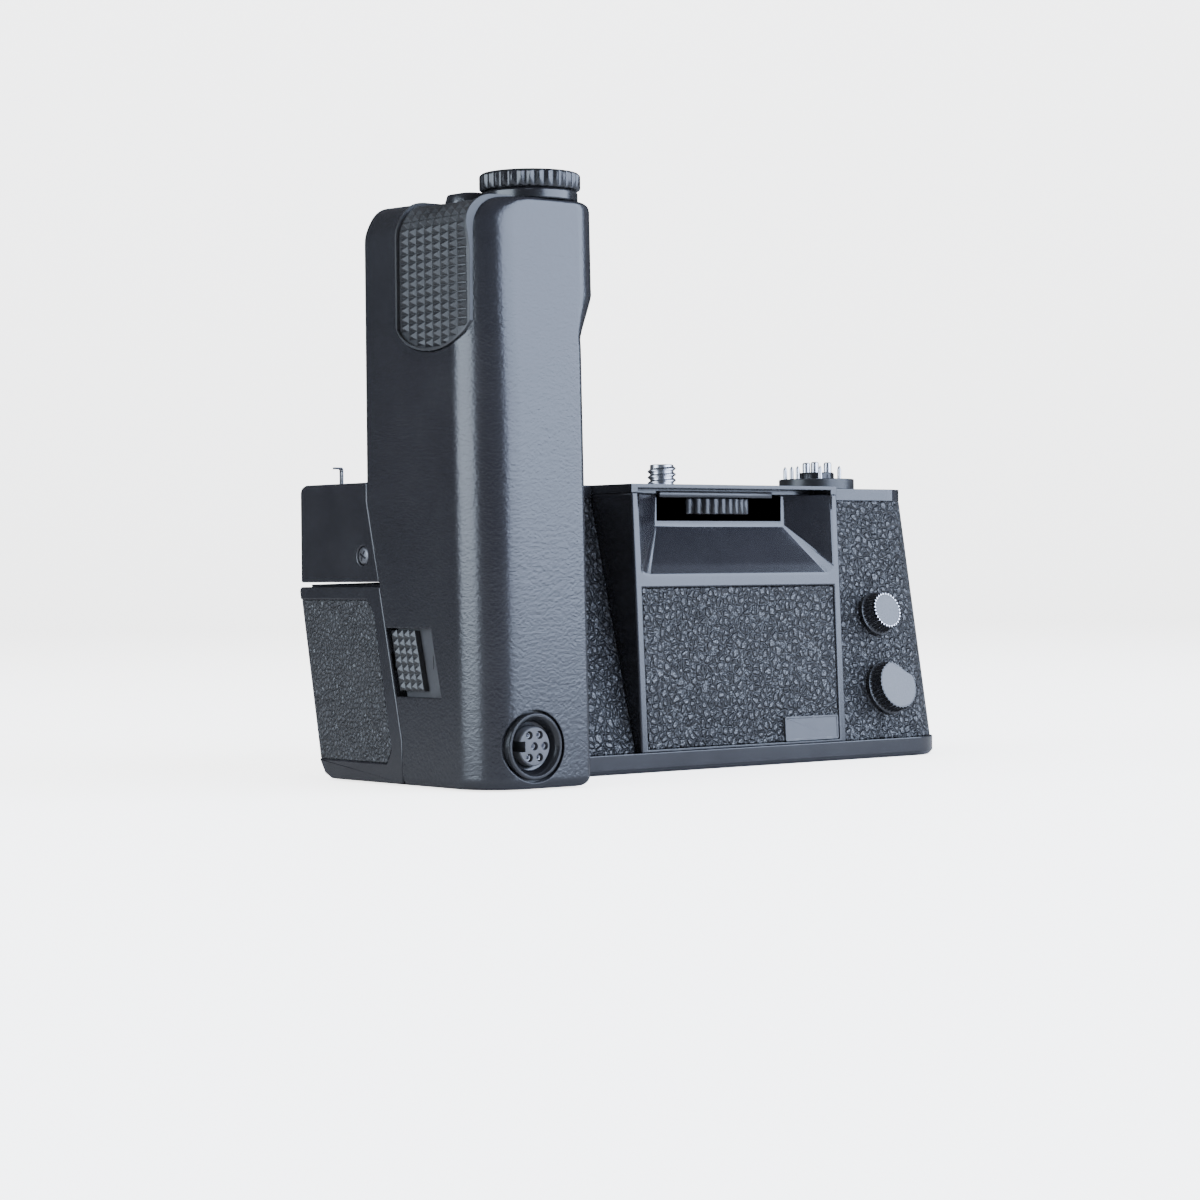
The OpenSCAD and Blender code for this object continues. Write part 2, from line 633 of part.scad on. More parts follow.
latch_travel = 3.8;
latch_y = 5.1;
latch_z = 24.2;
module latch_plate() color([0.25, 0.25, 0.27]) place() difference() {
    union() {
        along_x(grip_wall + touch, grip_wall + 0.7, [[split_y(31.5) - 1.3, 31.6], [-6.4, 31.6], [-9.6,
            16.4],
            [split_y(16.4) - 1.3, 16.4]]);
        // stop of the spring
        translate([grip_wall + 0.6, -7.6, latch_z - 1.6]) cube([2.6, 1.1, 3.2]);
    }
    // slot for the slider's tab
    translate([grip_wall - 1, latch_y - 0.2 - latch_travel, latch_z - 1.2]) cube([3, latch_travel + 1.9,
        2.4]);
}

module latch_slider() color([0.14, 0.14, 0.15]) place() {
    difference() {
        along_x(0.1, grip_wall - touch, [[9.4, 30.2], [1.4, 30.2], [-1.5, 18.6], [6.5, 18.6]]);
        for (k = [1:6]) translate([0.1, -20, 18.6 + k * 11.6 / 7]) rotate([-90, 0, 0]) cylinder(r = 0.5,
            h = 40, $fn = 4);
        for (k = [1:3]) translate([0.1, -1.5 + k * 2, 18.6]) rotate([-atan(2.9 / 11.6), 0, 0])
            translate([0, 0, -2])
            cylinder(r = 0.5, h = 18, $fn = 4);
    }
    // bolt towards the end cap
    translate([0.9, 6.2, latch_z - 1.2]) cube([0.8, 2.2, 2]);
    // tab behind the plate
    translate([grip_wall - 0.4, latch_y, latch_z - 1]) cube([3, 1.6, 2]);
}

module latch_spring() color([0.6, 0.6, 0.62]) place()
    translate([grip_wall + 1.9, latch_y - latch_travel - 7.78, latch_z]) rotate([-90, 0, 0])
        difference() {
        cylinder(r = 0.9, h = 7.76);
        translate([0, 0, -1]) cylinder(r = 0.5, h = 11);
    }

module end_cap() color([0.13, 0.13, 0.15]) place() difference() {
    union() {
        along_x(0, cap_t, [[split_low + 0.15, 0.4], [split_low + 0.15, split_bend_z],
            [split_y(seam_z - 0.5) + 0.15, seam_z - 0.5], [rear_y(seam_z - 0.5) - 0.6, seam_z - 0.5],
            [rear_y(seam_z - 1.2), seam_z - 1.2], [rear_y(4), 4], [rear_low - 1, 1.4], [rear_low - 3.4,
                0.4]]);
    }
    // seat of the leather
    along_x(-1, 0.5, cap_leather_pts);
    // keep for the latch bolt
    translate([0.7, 4, latch_z - 1.6]) cube([1.2, 6.9, 3.2]);
}

cap_leather_pts = [[rear_y(36.1) + 1, 36.1], [split_y(36.1) + 5.2, 36.1], [split_y(33.5) + 3.6, 33.5],
    [split_y(7) + 4, 7], [split_y(4.3) + 5.6, 4.3], [rear_y(4.3) + 1, 4.3]];
module leather_cap() color([0.15, 0.15, 0.17]) place() intersection() {
    along_x(0.05, 0.48, cap_leather_pts);
    along_x(0, 1, [[0, 4.35], [rear_y(4.35) - 0.4, 4.35], [rear_y(36) - 0.4, 36.05], [0, 36.05]]);
}

tray_gap = 0.35;
shelf_t = 1;
row_low_z = chamber_low + tray_gap + shelf_t + cell_d / 2 + 0.05;
row_high_z = row_low_z + cell_d + shelf_t + 0.1;
cell_start = cap_t + 1.9;
cells_end = cell_start + 2 * cell_l + 1.6;
function cell_y(z, k) = split_y(z) + 0.27 + cell_d / 2 / cos(atan(split_slope)) + k * (cell_d + 0.04);

module battery_tray() color([0.16, 0.16, 0.17]) place() difference() {
    chamber_form(cap_t + touch, cells_end + 1.6, tray_gap);
    // the two rows of cells, open to the front and the rear
    for (z = [row_low_z, row_high_z]) for (k = [0, 1])
        translate([cell_start - 0.6 + k * (cell_l + 1.5), -5, z - cell_d / 2 - 0.05])
            cube([cell_l + 1.1, 60, cell_d + 0.1]);
    translate([-1, -5, row_high_z + cell_d / 2 + shelf_t]) cube([200, 60, 20]);
}

module battery_cells() color([0.3, 0.32, 0.36]) place()
    for (z = [row_low_z, row_high_z]) for (s = [0, 1]) for (k = [0, 1])
        translate([cell_start - 0.1 + k * (cell_l + 1.5), cell_y(z, s), z]) rotate([0, 90, 0]) {
            cylinder(r = cell_d / 2, h = cell_l - 1);
            translate([0, 0, cell_l - 1.05]) cylinder(r = 2.7, h = 1.15);
        }

module cell_contacts() color([0.75, 0.74, 0.7]) place()
    for (z = [row_low_z, row_high_z]) for (s = [0, 1]) for (k = [0, 1])
        translate([cell_start - 0.58 + k * (cell_l + 1.5), cell_y(z, s), z]) rotate([0, 90, 0]) {
            cylinder(r = 3.4, h = 0.45);
            translate([0, 0, cell_l + 0.6]) cylinder(r = 3, h = 0.45);
        }

module chamber_contacts() color([0.75, 0.7, 0.5]) place() for (z = [row_low_z, row_high_z])
    translate([cells_end + 1.7, cell_y(z, 0.5), z]) rotate([0, 90, 0]) cylinder(r1 = 1.4, r2 = 2.4,
        h = chamber_end - cells_end - 1.72);

module camera_screw() color([0.75, 0.75, 0.77]) place() translate([screw_x, screw_y, 0]) {
    translate([0, 0, wheel_z + wheel_t - 0.25]) cylinder(r = screw_r - 0.3,
        h = body_h + 0.2 - wheel_z - wheel_t + 0.25);
    translate([0, 0, body_h + 0.1]) cylinder(r = screw_r, h = screw_up - 0.6);
    translate([0, 0, body_h + screw_up - 0.5]) cylinder(r1 = screw_r, r2 = screw_r - 0.5, h = 0.5);
    translate([0, 0, wheel_z - 4]) cylinder(r = 2.4, h = wheel_t + 4);
}

module thumb_wheel() color([0.12, 0.12, 0.13]) place() translate([screw_x, screw_y, wheel_z])
    difference() {
    cylinder(r = wheel_r, h = wheel_t, $fn = 96);
    translate([0, 0, -1]) cylinder(r = 2.4 + touch, h = 10);
    translate([0, 0, wheel_t - 0.25]) cylinder(r = screw_r - 0.3 + touch, h = 10);
    for (k = [0:wheel_ribs - 1]) rotate(k * 360 / wheel_ribs) translate([wheel_r + 0.2, 0, -1])
        cylinder(r = 0.62, h = 10, $fn = 14);
}

module wheel_washer() color([0.3, 0.3, 0.32]) place() translate([screw_x, screw_y,
    wheel_z - 0.8 - touch]) difference() {
    cylinder(r = 17.9, h = 0.8);
    translate([0, 0, -1]) cylinder(r = 2.4 + touch, h = 10);
}

module screw_bracket() color([0.55, 0.56, 0.58]) place() difference() {
    w = 38;
    top = wheel_z - 0.8 - 2 * touch;
    translate([screw_x - w / 2, 20.4, plate_z]) cube([w, 18, top - plate_z]);
    translate([screw_x - w / 2 + 1.6, 15, plate_z - 1]) cube([w - 3.2, 40, top - plate_z - 1.2]);
    translate([screw_x, screw_y, plate_z]) cylinder(r = 2.4 + shaft_gap, h = top - plate_z + 4);
}

module tripod_bush() color([0.6, 0.6, 0.62]) place() translate([screw_x, screw_y, 0]) difference() {
    cylinder(r = 5, h = base_h - touch);
    translate([0, 0, -1]) cylinder(r = tripod_r, h = 10);
}

// Places of the sprung contact pins on the disc
pin_at = [[-5.1, 4.9], [-6.1, 1.6], [-6.4, -0.7], [-3.7, -5.2], [1.35, -6.1]];
pin_r = 0.45;
module contact_disc() color([0.1, 0.1, 0.11]) place() translate([coupler_x, coupler_y, body_h + touch])
    difference() {
    cylinder(r = disc_r, h = disc_t - touch);
    translate([0, 0, -1]) cylinder(r = coupler_r + 0.15, h = 10);
    for (at = pin_at) translate([at[0], at[1], -1]) cylinder(r = pin_r + shaft_gap, h = 10);
}

module contact_pin(k) color([0.8, 0.78, 0.7]) place()
    translate([coupler_x + pin_at[k][0], coupler_y + pin_at[k][1], body_h - top_t + 0.2]) {
        cylinder(r = pin_r, h = top_t - 0.2 + disc_t + 2.4, $fn = 24);
        translate([0, 0, top_t - 0.2 + disc_t + 2.4]) cylinder(r1 = pin_r, r2 = 0.12, h = 0.5, $fn = 24);
    }
module contact_pin_1() contact_pin(0);
module contact_pin_2() contact_pin(1);
module contact_pin_3() contact_pin(2);
module contact_pin_4() contact_pin(3);
module contact_pin_5() contact_pin(4);

module drive_coupler() color([0.5, 0.5, 0.52]) place() translate([coupler_x, coupler_y, 0]) {
    translate([0, 0, body_h - 1.4]) difference() {
        cylinder(r = coupler_r, h = 1.4 + disc_t + 1.6);
        translate([0, 0, -1]) cylinder(r = 1.57, h = 4);
    }
    for (a = [100, 220, 340]) rotate(a) translate([2.8, 0, body_h + disc_t + 1.5]) cylinder(r = 0.88,
        h = 2.4);
}

// Straight-sided spur gear with true arc tips: teeth cut from a disc
module spur(teeth, mod, h, bore) {
    tip = mod * teeth / 2 + mod * 0.95;
    root = mod * teeth / 2 - mod * 1.2;
    half = 90 / teeth;
    difference() {
        union() {
            cylinder(r = root, h = h);
            for (k = [0:teeth - 1]) rotate(k * 360 / teeth) linear_extrude(h) polygon([
                [root - 0.1, -root * sin(half * 1.25)], [mod * teeth / 2,
                    -mod * teeth / 2 * sin(half * 0.9)],
                [tip, -tip * sin(half * 0.42)], [tip, tip * sin(half * 0.42)],
                [mod * teeth / 2, mod * teeth / 2 * sin(half * 0.9)], [root - 0.1,
                    root * sin(half * 1.25)]]);
        }
        translate([0, 0, -1]) cylinder(r = bore, h = h + 2);
    }
}

pinion_teeth = 12;
wheel_teeth = 48;
small_teeth = 14;
output_teeth = 38;
// The reduction gear's axis, found from its distances to the motor and the coupler
reach_1 = first_module * (pinion_teeth + wheel_teeth) / 2 + 0.05;
reach_2 = second_module * (small_teeth + output_teeth) / 2 + 0.05;
span_x = coupler_x - motor_x;
span_y = coupler_y - motor_y;
span = sqrt(span_x * span_x + span_y * span_y);
foot = (reach_1 * reach_1 - reach_2 * reach_2 + span * span) / (2 * span);
rise = sqrt(reach_1 * reach_1 - foot * foot);
gear_x = motor_x + foot * span_x / span - rise * span_y / span;
gear_y = motor_y + foot * span_y / span + rise * span_x / span;
gear_z = 42.6;
// Turns that bring the teeth into mesh at rest
aim_1 = atan2(motor_y - gear_y, motor_x - gear_x);
aim_2 = atan2(gear_y - coupler_y, gear_x - coupler_x);

module coupler_gear() color([0.7, 0.6, 0.35]) place() translate([coupler_x, coupler_y, 0]) {
    translate([0, 0, gear_z + 3]) rotate(aim_2) spur(output_teeth, second_module, 3, 1.55);
    translate([0, 0, gear_z - 1.6]) cylinder(r = 1.56, h = body_h + 0.2 - gear_z + 1.6);
}

module coupler_bush() color([0.7, 0.6, 0.35]) place() translate([coupler_x, coupler_y, body_h - 4.4])
    difference() {
    cylinder(r = 5.5, h = 2.6 - touch);
    translate([0, 0, -1]) cylinder(r = 1.56 + shaft_gap, h = 5);
}

module reduction_gear() color([0.7, 0.6, 0.35]) place() translate([gear_x, gear_y, gear_z]) {
    rotate(aim_1) spur(wheel_teeth, first_module, 2, 1.05);
    translate([0, 0, 2 - touch]) rotate(aim_2 + 180 + 180 / small_teeth) spur(small_teeth,
        second_module, 4.2, 1.05);
}

plate_z = seam_z + touch;
module gear_plate() color([0.55, 0.56, 0.58]) place() difference() {
    union() {
        translate([motor_x - 17, 18, plate_z]) cube([35.4, rear_high - 2.1 - 18, 1.2]);
        translate([gear_x, gear_y, plate_z]) cylinder(r = 1, h = gear_z + 8 - plate_z, $fn = 32);
        translate([gear_x, gear_y, plate_z]) cylinder(r = 2, h = gear_z - shaft_gap - plate_z, $fn = 32);
        translate([coupler_x, coupler_y, plate_z]) cylinder(r = 2.9, h = gear_z - 0.3 - plate_z);
    }
    translate([motor_x, motor_y, plate_z - 1]) cylinder(r = 2.2, h = 4);
    translate([coupler_x, coupler_y, plate_z - 1]) cylinder(r = 1.56 + shaft_gap, h = 8);
}

module motor_can() color([0.6, 0.6, 0.62]) place() translate([motor_x, motor_y, motor_z]) difference() {
    union() {
        cylinder(r = motor_r, h = motor_l);
        translate([0, 0, motor_l - 0.1]) cylinder(r = 4.5, h = plate_z - motor_z - motor_l + 0.1 - touch);
    }
    translate([0, 0, 4]) cylinder(r = 1 + shaft_gap, h = motor_l + 2);
}

module motor_pinion() color([0.7, 0.6, 0.35]) place() translate([motor_x, motor_y, 0]) {
    translate([0, 0, motor_z + 6]) cylinder(r = 1, h = gear_z + 2.6 - motor_z - 6, $fn = 32);
    translate([0, 0, gear_z - 0.2]) rotate(aim_1 + 180 + 180 / pinion_teeth) spur(pinion_teeth,
        first_module, 2.4, 0.9);
}

module circuit_board() color([0.1, 0.3, 0.18]) place() {
    translate([33, 19, seam_z + touch]) cube([26, 19.8, 1.2]);
    for (x = [36, 48]) translate([x, 24, seam_z + 1.2]) cube([8, 10, 3]);
}

// The leaf and the slot that holds it
leaf_at = [6, 34];
module leaf_slot() translate([leaf_at[0] - 0.2, leaf_at[1] - 0.45, body_h - 3]) cube([0.4, 0.9, 5]);
module leaf_hook() color([0.75, 0.75, 0.77]) place() translate([leaf_at[0], leaf_at[1], body_h]) {
    translate([-0.2, -0.45, -1.8]) cube([0.4, 0.9, 5.4]);
    translate([-1.8, -0.45, 3.2]) cube([2, 0.9, 0.4]);
}

module terminal_cap(r, h) difference() {
    union() {
        cylinder(r = r + 0.35, h = 1.1);
        translate([0, 0, 1]) cylinder(r1 = r, r2 = r - 0.75, h = h - 1);
    }
    translate([0, 0, -1]) cylinder(r = 3.3, h = h + 0.4);
    for (a = [0:15:359]) rotate(a) translate([r - 0.1, 0, 1.4]) rotate([0, -atan(0.75 / (h - 1)), 0])
        cylinder(r = 0.28, h = h + 1, $fn = 14);
}

module cap_upper() color([0.1, 0.1, 0.11]) place() on_front(upper_at)
    translate([0, 0, touch]) terminal_cap(cap_upper_r, cap_out);

module cap_lower() color([0.1, 0.1, 0.11]) place() on_front(lower_at) translate([0, 0, touch])
    difference() {
    terminal_cap(cap_lower_r, cap_out);
    rotate(62) translate([cap_lower_r - 1.9, -10, cap_out - 1.6]) cube([10, 20, 10]);
}

module terminal_sockets() color([0.35, 0.35, 0.37]) place() for (at = [upper_at, lower_at]) on_front(at)
    translate([0, 0, -5]) difference() {
        cylinder(r = 3, h = 8.4);
        translate([0, 0, 2]) cylinder(r = 2.3, h = 8);
        translate([1.9, -0.4, 5]) cube([0.8, 0.8, 8]);
    }

counter_x = 78;
counter_r = 4.7;
lever_x = body_w - 44.5;
check_x = 52;
lamp_x = [41, 45.5];
// A round piece of the rear controls: its length from a depth
module control(x, depth, r, h) translate([x, depth, control_z]) rotate([-90, 0, 0]) cylinder(r = r,
    h = h);

module counter_dial() color([0.85, 0.85, 0.83]) place() {
    control(counter_x, rear_in - 1.2, counter_r, 0.9);
    control(counter_x, rear_in - 3.6, 1, 2.6);
}

module counter_window() color([0.8, 0.85, 0.88, 0.4]) place()
    control(counter_x, rear_in + 0.1, counter_r + 0.29, rear_out - rear_in - 0.2);

module rewind_lever() color([0.16, 0.16, 0.17]) place() {
    control(lever_x, rear_in - 1.4, 1.5, rear_out - rear_in + 1.6);
    control(lever_x, rear_out + 0.1, 4, 0.7);
    translate([lever_x, rear_out + 0.1, control_z - 1.6]) cube([9, 0.7, 3.2]);
    translate([lever_x + 7.6, rear_out + 0.1, control_z - 1.6]) cube([1.4, 1.1, 3.2]);
}

module check_button() color([0.2, 0.2, 0.21]) place() {
    control(check_x, rear_in - 1.1, 2.2, rear_out - rear_in + 2);
    control(check_x, rear_in - 1.1, 3, 1);
}

module lamp_lenses() color([0.6, 0.1, 0.1]) place() for (x = lamp_x) {
    control(x, rear_in - 0.6, 1.2 - touch / 2, rear_out - rear_in + 0.6);
    translate([x, rear_out, control_z]) scale([1, 0.5, 1]) sphere(r = 1.2 - touch / 2);
}

module pan_screw(r, h) difference() {
    union() {
        cylinder(r = r, h = 0.7);
        translate([0, 0, -h]) cylinder(r = r * 0.55, h = h);
    }
    translate([-r * 0.6, -0.2, 0.35]) cube([r * 1.2, 0.4, 1]);
    translate([-0.2, -r * 0.6, 0.35]) cube([0.4, r * 1.2, 1]);
}

module casing_screws() color([0.5, 0.5, 0.52]) place() {
    translate([0.7, 18.1, 44.8]) rotate([0, -90, 0]) pan_screw(1.8, 4.6);
}

main_casing();
left_casing();
centre_frame();
top_plate();
base_plate();
rear_housing();
leather_left();
leather_centre();
leather_right();
name_plate();
grip_shell();
grip_back();
grip_pad();
dial_collar();
mode_ring();
release_button();
release_spring();
release_switch();
grip_board();
socket_ring();
socket_insert();
socket_contacts();
latch_plate();
latch_slider();
latch_spring();
end_cap();
leather_cap();
battery_tray();
battery_cells();
cell_contacts();
chamber_contacts();
camera_screw();
thumb_wheel();
wheel_washer();
screw_bracket();
tripod_bush();
contact_disc();
contact_pin_1();
contact_pin_2();
contact_pin_3();
contact_pin_4();
contact_pin_5();
drive_coupler();
coupler_gear();
coupler_bush();
reduction_gear();
gear_plate();
motor_can();
motor_pinion();
circuit_board();
leaf_hook();
cap_upper();
cap_lower();
terminal_sockets();
counter_dial();
counter_window();
rewind_lever();
check_button();
lamp_lenses();
casing_screws();
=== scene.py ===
from math import cos, pi, radians, sin, sqrt

import bmesh
import bpy
from mathutils import Matrix, Vector


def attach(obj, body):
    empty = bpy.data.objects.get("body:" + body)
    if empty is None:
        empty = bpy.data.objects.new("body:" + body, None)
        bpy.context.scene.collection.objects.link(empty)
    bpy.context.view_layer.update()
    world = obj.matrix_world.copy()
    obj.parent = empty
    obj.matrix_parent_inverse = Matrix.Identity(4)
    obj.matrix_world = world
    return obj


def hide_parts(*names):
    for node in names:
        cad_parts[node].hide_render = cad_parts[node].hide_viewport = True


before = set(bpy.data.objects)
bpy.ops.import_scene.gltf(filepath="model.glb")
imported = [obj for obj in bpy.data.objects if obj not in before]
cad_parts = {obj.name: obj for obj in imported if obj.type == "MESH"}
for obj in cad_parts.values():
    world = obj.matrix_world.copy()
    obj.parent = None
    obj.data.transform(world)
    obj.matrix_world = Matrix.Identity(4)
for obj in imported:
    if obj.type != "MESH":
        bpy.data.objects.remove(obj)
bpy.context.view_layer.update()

# The camera stands in front of the winder's left corner, level with its waist, with a long lens.
# Lengths are in millimetres from the left end, the base's front line and the base plane, and the
# frame's origin lies under the camera screw.
screw_x, screw_y = 84, 26
scene = bpy.context.scene
to_frame = Matrix.Scale(0.001, 4) @ Matrix.Translation((-screw_x, -screw_y, 0))
yaw, pitch, roll = radians(39.02), radians(0.56), radians(-0.55)
ahead = Vector((sin(yaw) * cos(pitch), cos(yaw) * cos(pitch), -sin(pitch)))
across = Vector((cos(yaw), -sin(yaw), 0))
upward = across.cross(ahead)
level, plumb = cos(roll) * across + sin(roll) * upward, cos(roll) * upward - sin(roll) * across
lens = bpy.data.cameras.new("camera")
lens.sensor_width = 36
lens.lens = 88.872
lens.clip_start = 0.02
lens.clip_end = 30
camera = bpy.data.objects.new("camera", lens)
camera_at = (-0.414746, -0.490161, 0.041361)
camera.matrix_world = Matrix.Translation(camera_at) @ Matrix((level, plumb, -ahead)).transposed().to_4x4()
scene.collection.objects.link(camera)
scene.camera = camera


# The studio: a white sweep of card under and behind the winder, one large soft box that faces
# its front from the right, a tall strip behind the camera for the grip's corner, and a soft top.
def add(tree, kind, feeds={}, **ways):
    """A shader node with its settings, its inputs either linked or set."""
    made = tree.nodes.new("ShaderNode" + kind)
    for key, value in ways.items():
        setattr(made, key, value)
    for key, value in feeds.items():
        if isinstance(value, bpy.types.NodeSocket):
            tree.links.new(value, made.inputs[key])
        else:
            made.inputs[key].default_value = value
    return made


def ramp(tree, value, low, high, to_low=0, to_high=1, **ways):
    """Turns a value that runs from low to high into another span, held at its ends."""
    feeds = {"Value": value, "From Min": low, "From Max": high, "To Min": to_low, "To Max": to_high}
    return add(tree, "MapRange", feeds, **ways).outputs[0]


def times(tree, value, factor, **ways):
    return add(tree, "Math", {0: value, 1: factor}, operation="MULTIPLY", **ways).outputs[0]


def tinted(tree, mask, low, high):
    return add(tree, "MixRGB", {"Fac": mask, "Color1": low, "Color2": high}).outputs[0]


def new_skin(name):
    made = bpy.data.materials.new(name)
    made.use_nodes = True
    return made, made.node_tree, made.node_tree.nodes["Principled BSDF"]


card, card_tree, card_coat = new_skin("card")
card_white = (0.9, 0.898, 0.892, 1)
card_coat.inputs["Base Color"].default_value = card_white
card_coat.inputs["Roughness"].default_value = 0.85
card_coat.inputs["Specular IOR Level"].default_value = 0.15
ray = add(card_tree, "LightPath")
stand = add(card_tree, "NewGeometry")
tilt = add(card_tree, "SeparateXYZ", {"Vector": stand.outputs["Normal"]})
wall_glow, floor_glow = 3.5, 2.9
lift = ramp(card_tree, tilt.outputs["Z"], 0, 1, wall_glow, floor_glow)
glow = times(card_tree, lift, ray.outputs["Is Camera Ray"])
card_coat.inputs["Emission Color"].default_value = (1, 0.995, 0.985, 1)
card_tree.links.new(glow, card_coat.inputs["Emission Strength"])
spot = add(card_tree, "SeparateXYZ", {"Vector": add(card_tree, "TexCoord").outputs["Object"]})
behind = ramp(card_tree, spot.outputs["Y"], -0.06, 0.3)
mirrored_front, mirrored_back = (0.4, 0.4, 0.41, 1), (0.1, 0.102, 0.108, 1)
mirrored = tinted(card_tree, behind, mirrored_front, mirrored_back)
shown = tinted(card_tree, ray.outputs["Is Glossy Ray"], card_white, mirrored)
card_tree.links.new(shown, card_coat.inputs["Base Color"])
card_front, card_bend, bend_r, card_half_w, wall_high = -2.5, 1.6, 0.8, 4, 2.6
sweep = bmesh.new()
run = [sweep.verts.new((0, y, 0)) for y in (card_front, card_bend)]
sweep.edges.new(run)
bmesh.ops.spin(sweep, geom=[run[1]], cent=(0, card_bend, bend_r), axis=(1, 0, 0), dvec=(0, 0, 0),
               angle=radians(88), steps=24)
top = max(sweep.verts, key=lambda v: v.co.z)
wall_top = bmesh.ops.extrude_vert_indiv(sweep, verts=[top])["verts"]
bmesh.ops.translate(sweep, verts=wall_top, vec=(0, 0.05, wall_high))
bmesh.ops.translate(sweep, verts=sweep.verts, vec=(-card_half_w, 0, 0))
side = bmesh.ops.extrude_edge_only(sweep, edges=sweep.edges)["geom"]
far_side = [v for v in side if isinstance(v, bmesh.types.BMVert)]
bmesh.ops.translate(sweep, verts=far_side, vec=(2 * card_half_w, 0, 0))
bmesh.ops.rotate(sweep, verts=sweep.verts, cent=(0, 0, 0), matrix=Matrix.Rotation(-yaw, 3, "Z"))
card_mesh = bpy.data.meshes.new("sweep")
sweep.to_mesh(card_mesh)
sweep.free()
card_mesh.materials.append(card)
card_mesh.shade_smooth()
card_sheet = bpy.data.objects.new("sweep", card_mesh)
scene.collection.objects.link(card_sheet)


def soft_box(name, place, target, width, height, power, colour, mirrored=True):
    """A rectangular lamp, in metres and watts, turned to its target."""
    lamp = bpy.data.lights.new(name, "AREA")
    lamp.shape = "RECTANGLE"
    lamp.size, lamp.size_y = width, height
    lamp.energy = power
    lamp.color = colour
    stand = bpy.data.objects.new(name, lamp)
    aim = (Vector(target) - Vector(place)).to_track_quat("-Z", "Y")
    stand.matrix_world = Matrix.Translation(place) @ aim.to_matrix().to_4x4()
    stand.visible_glossy = mirrored
    scene.collection.objects.link(stand)


soft_box("front_box", (0.5, -0.98, 0.47), (-0.08, -0.045, 0.1), width=1.6, height=0.9, power=56,
         colour=(0.63, 0.75, 1))
soft_box("corner_strip", (-1.065, 0.144, 0.3), (-0.08, -0.03, 0.2), width=0.85, height=0.75, power=21,
         colour=(0.72, 0.84, 1))
soft_box("top_box", (-0.1, 0.15, 1.3), (0, 0, 0), width=1.3, height=1.3, power=20, colour=(1, 0.99, 0.97),
         mirrored=False)
sky = bpy.data.worlds.new("sky")
scene.world = sky
sky.use_nodes = True
sky_tree = sky.node_tree
seen = add(sky_tree, "LightPath")
sky_light, sky_mirrored, sky_shown = (0.9, 0.9, 0.9, 1), (0.06, 0.062, 0.066, 1), (0.87, 0.865, 0.85, 1)
dim = tinted(sky_tree, seen.outputs["Is Glossy Ray"], sky_light, sky_mirrored)
pale = tinted(sky_tree, seen.outputs["Is Camera Ray"], dim, sky_shown)
sky_tree.links.new(pale, sky_tree.nodes["Background"].inputs["Color"])
sky_tree.nodes["Background"].inputs["Strength"].default_value = 0.8


# The casings are die-cast and pressed metal, sprayed with a satin black lacquer that has a very
# fine orange peel. Handling has dulled it in patches, and its sharpest edges are rubbed to grey.
black, faded_black = (0.011, 0.011, 0.013), (0.015, 0.015, 0.017)


def effect(name, inputs, outputs):
    """A new node group with number inputs and outputs, and its inner ends."""
    tree = bpy.data.node_groups.new(name, "ShaderNodeTree")
    for key, value in inputs.items():
        tree.interface.new_socket(key, in_out="INPUT", socket_type="NodeSocketFloat").default_value = value
    for key in outputs:
        tree.interface.new_socket(key, in_out="OUTPUT", socket_type="NodeSocketFloat")
    return tree, tree.nodes.new("NodeGroupInput").outputs, tree.nodes.new("NodeGroupOutput").inputs


def placed(tree, group, **values):
    """The outputs of a node group put into a material with its own values."""
    made = tree.nodes.new("ShaderNodeGroup")
    made.node_tree = group
    for key, value in values.items():
        made.inputs[key].default_value = value
    return made.outputs


# Orange peel and moulding grain: lumps of one width with finer ones on them.
grain, given, result = effect("grain", {"Fineness": 2500, "Lumps": 0.5}, ["Height"])
where = add(grain, "TexCoord").outputs["Object"]
lumps = add(grain, "TexNoise", {"Vector": where, "Scale": given["Fineness"], "Detail": 2})
broad = times(grain, given["Fineness"], 0.3)
swell = add(grain, "TexNoise", {"Vector": where, "Scale": broad, "Detail": 2})
scaled = times(grain, swell.outputs["Fac"], given["Lumps"])
both = add(grain, "Math", {0: lumps.outputs["Fac"], 1: scaled}, operation="ADD")
grain.links.new(both.outputs[0], result["Height"])

# Handling: soft patches where hands and cloths have gone over the surface.
handling, given, result = effect("handling", {"Size": 90}, ["Mask"])
where = add(handling, "TexCoord").outputs["Object"]
patch = add(handling, "TexNoise", {"Vector": where, "Scale": given["Size"], "Detail": 5, "Roughness": 0.65,
                                   "Distortion": 0.4})
spread = ramp(handling, patch.outputs["Fac"], 0.35, 0.7)
handling.links.new(spread, result["Mask"])

# Edge wear: where the surface turns within a short reach, broken up by a fine noise.
wear, given, result = effect("wear", {"Reach": 0.0003, "Amount": 0.5}, ["Mask"])
turned_normal = add(wear, "Bevel", {"Radius": given["Reach"]}, samples=4)
facing = add(wear, "NewGeometry").outputs["Normal"]
same = add(wear, "VectorMath", {0: turned_normal.outputs[0], 1: facing}, operation="DOT_PRODUCT")
edge = ramp(wear, same.outputs["Value"], 0.985, 0.86)
where = add(wear, "TexCoord").outputs["Object"]
broken = add(wear, "TexNoise", {"Vector": where, "Scale": 420, "Detail": 4, "Roughness": 0.7})
bitten = ramp(wear, broken.outputs["Fac"], 0.5, 0.66)
kept = times(wear, edge, bitten)
worn = times(wear, kept, given["Amount"], use_clamp=True)
wear.links.new(worn, result["Mask"])

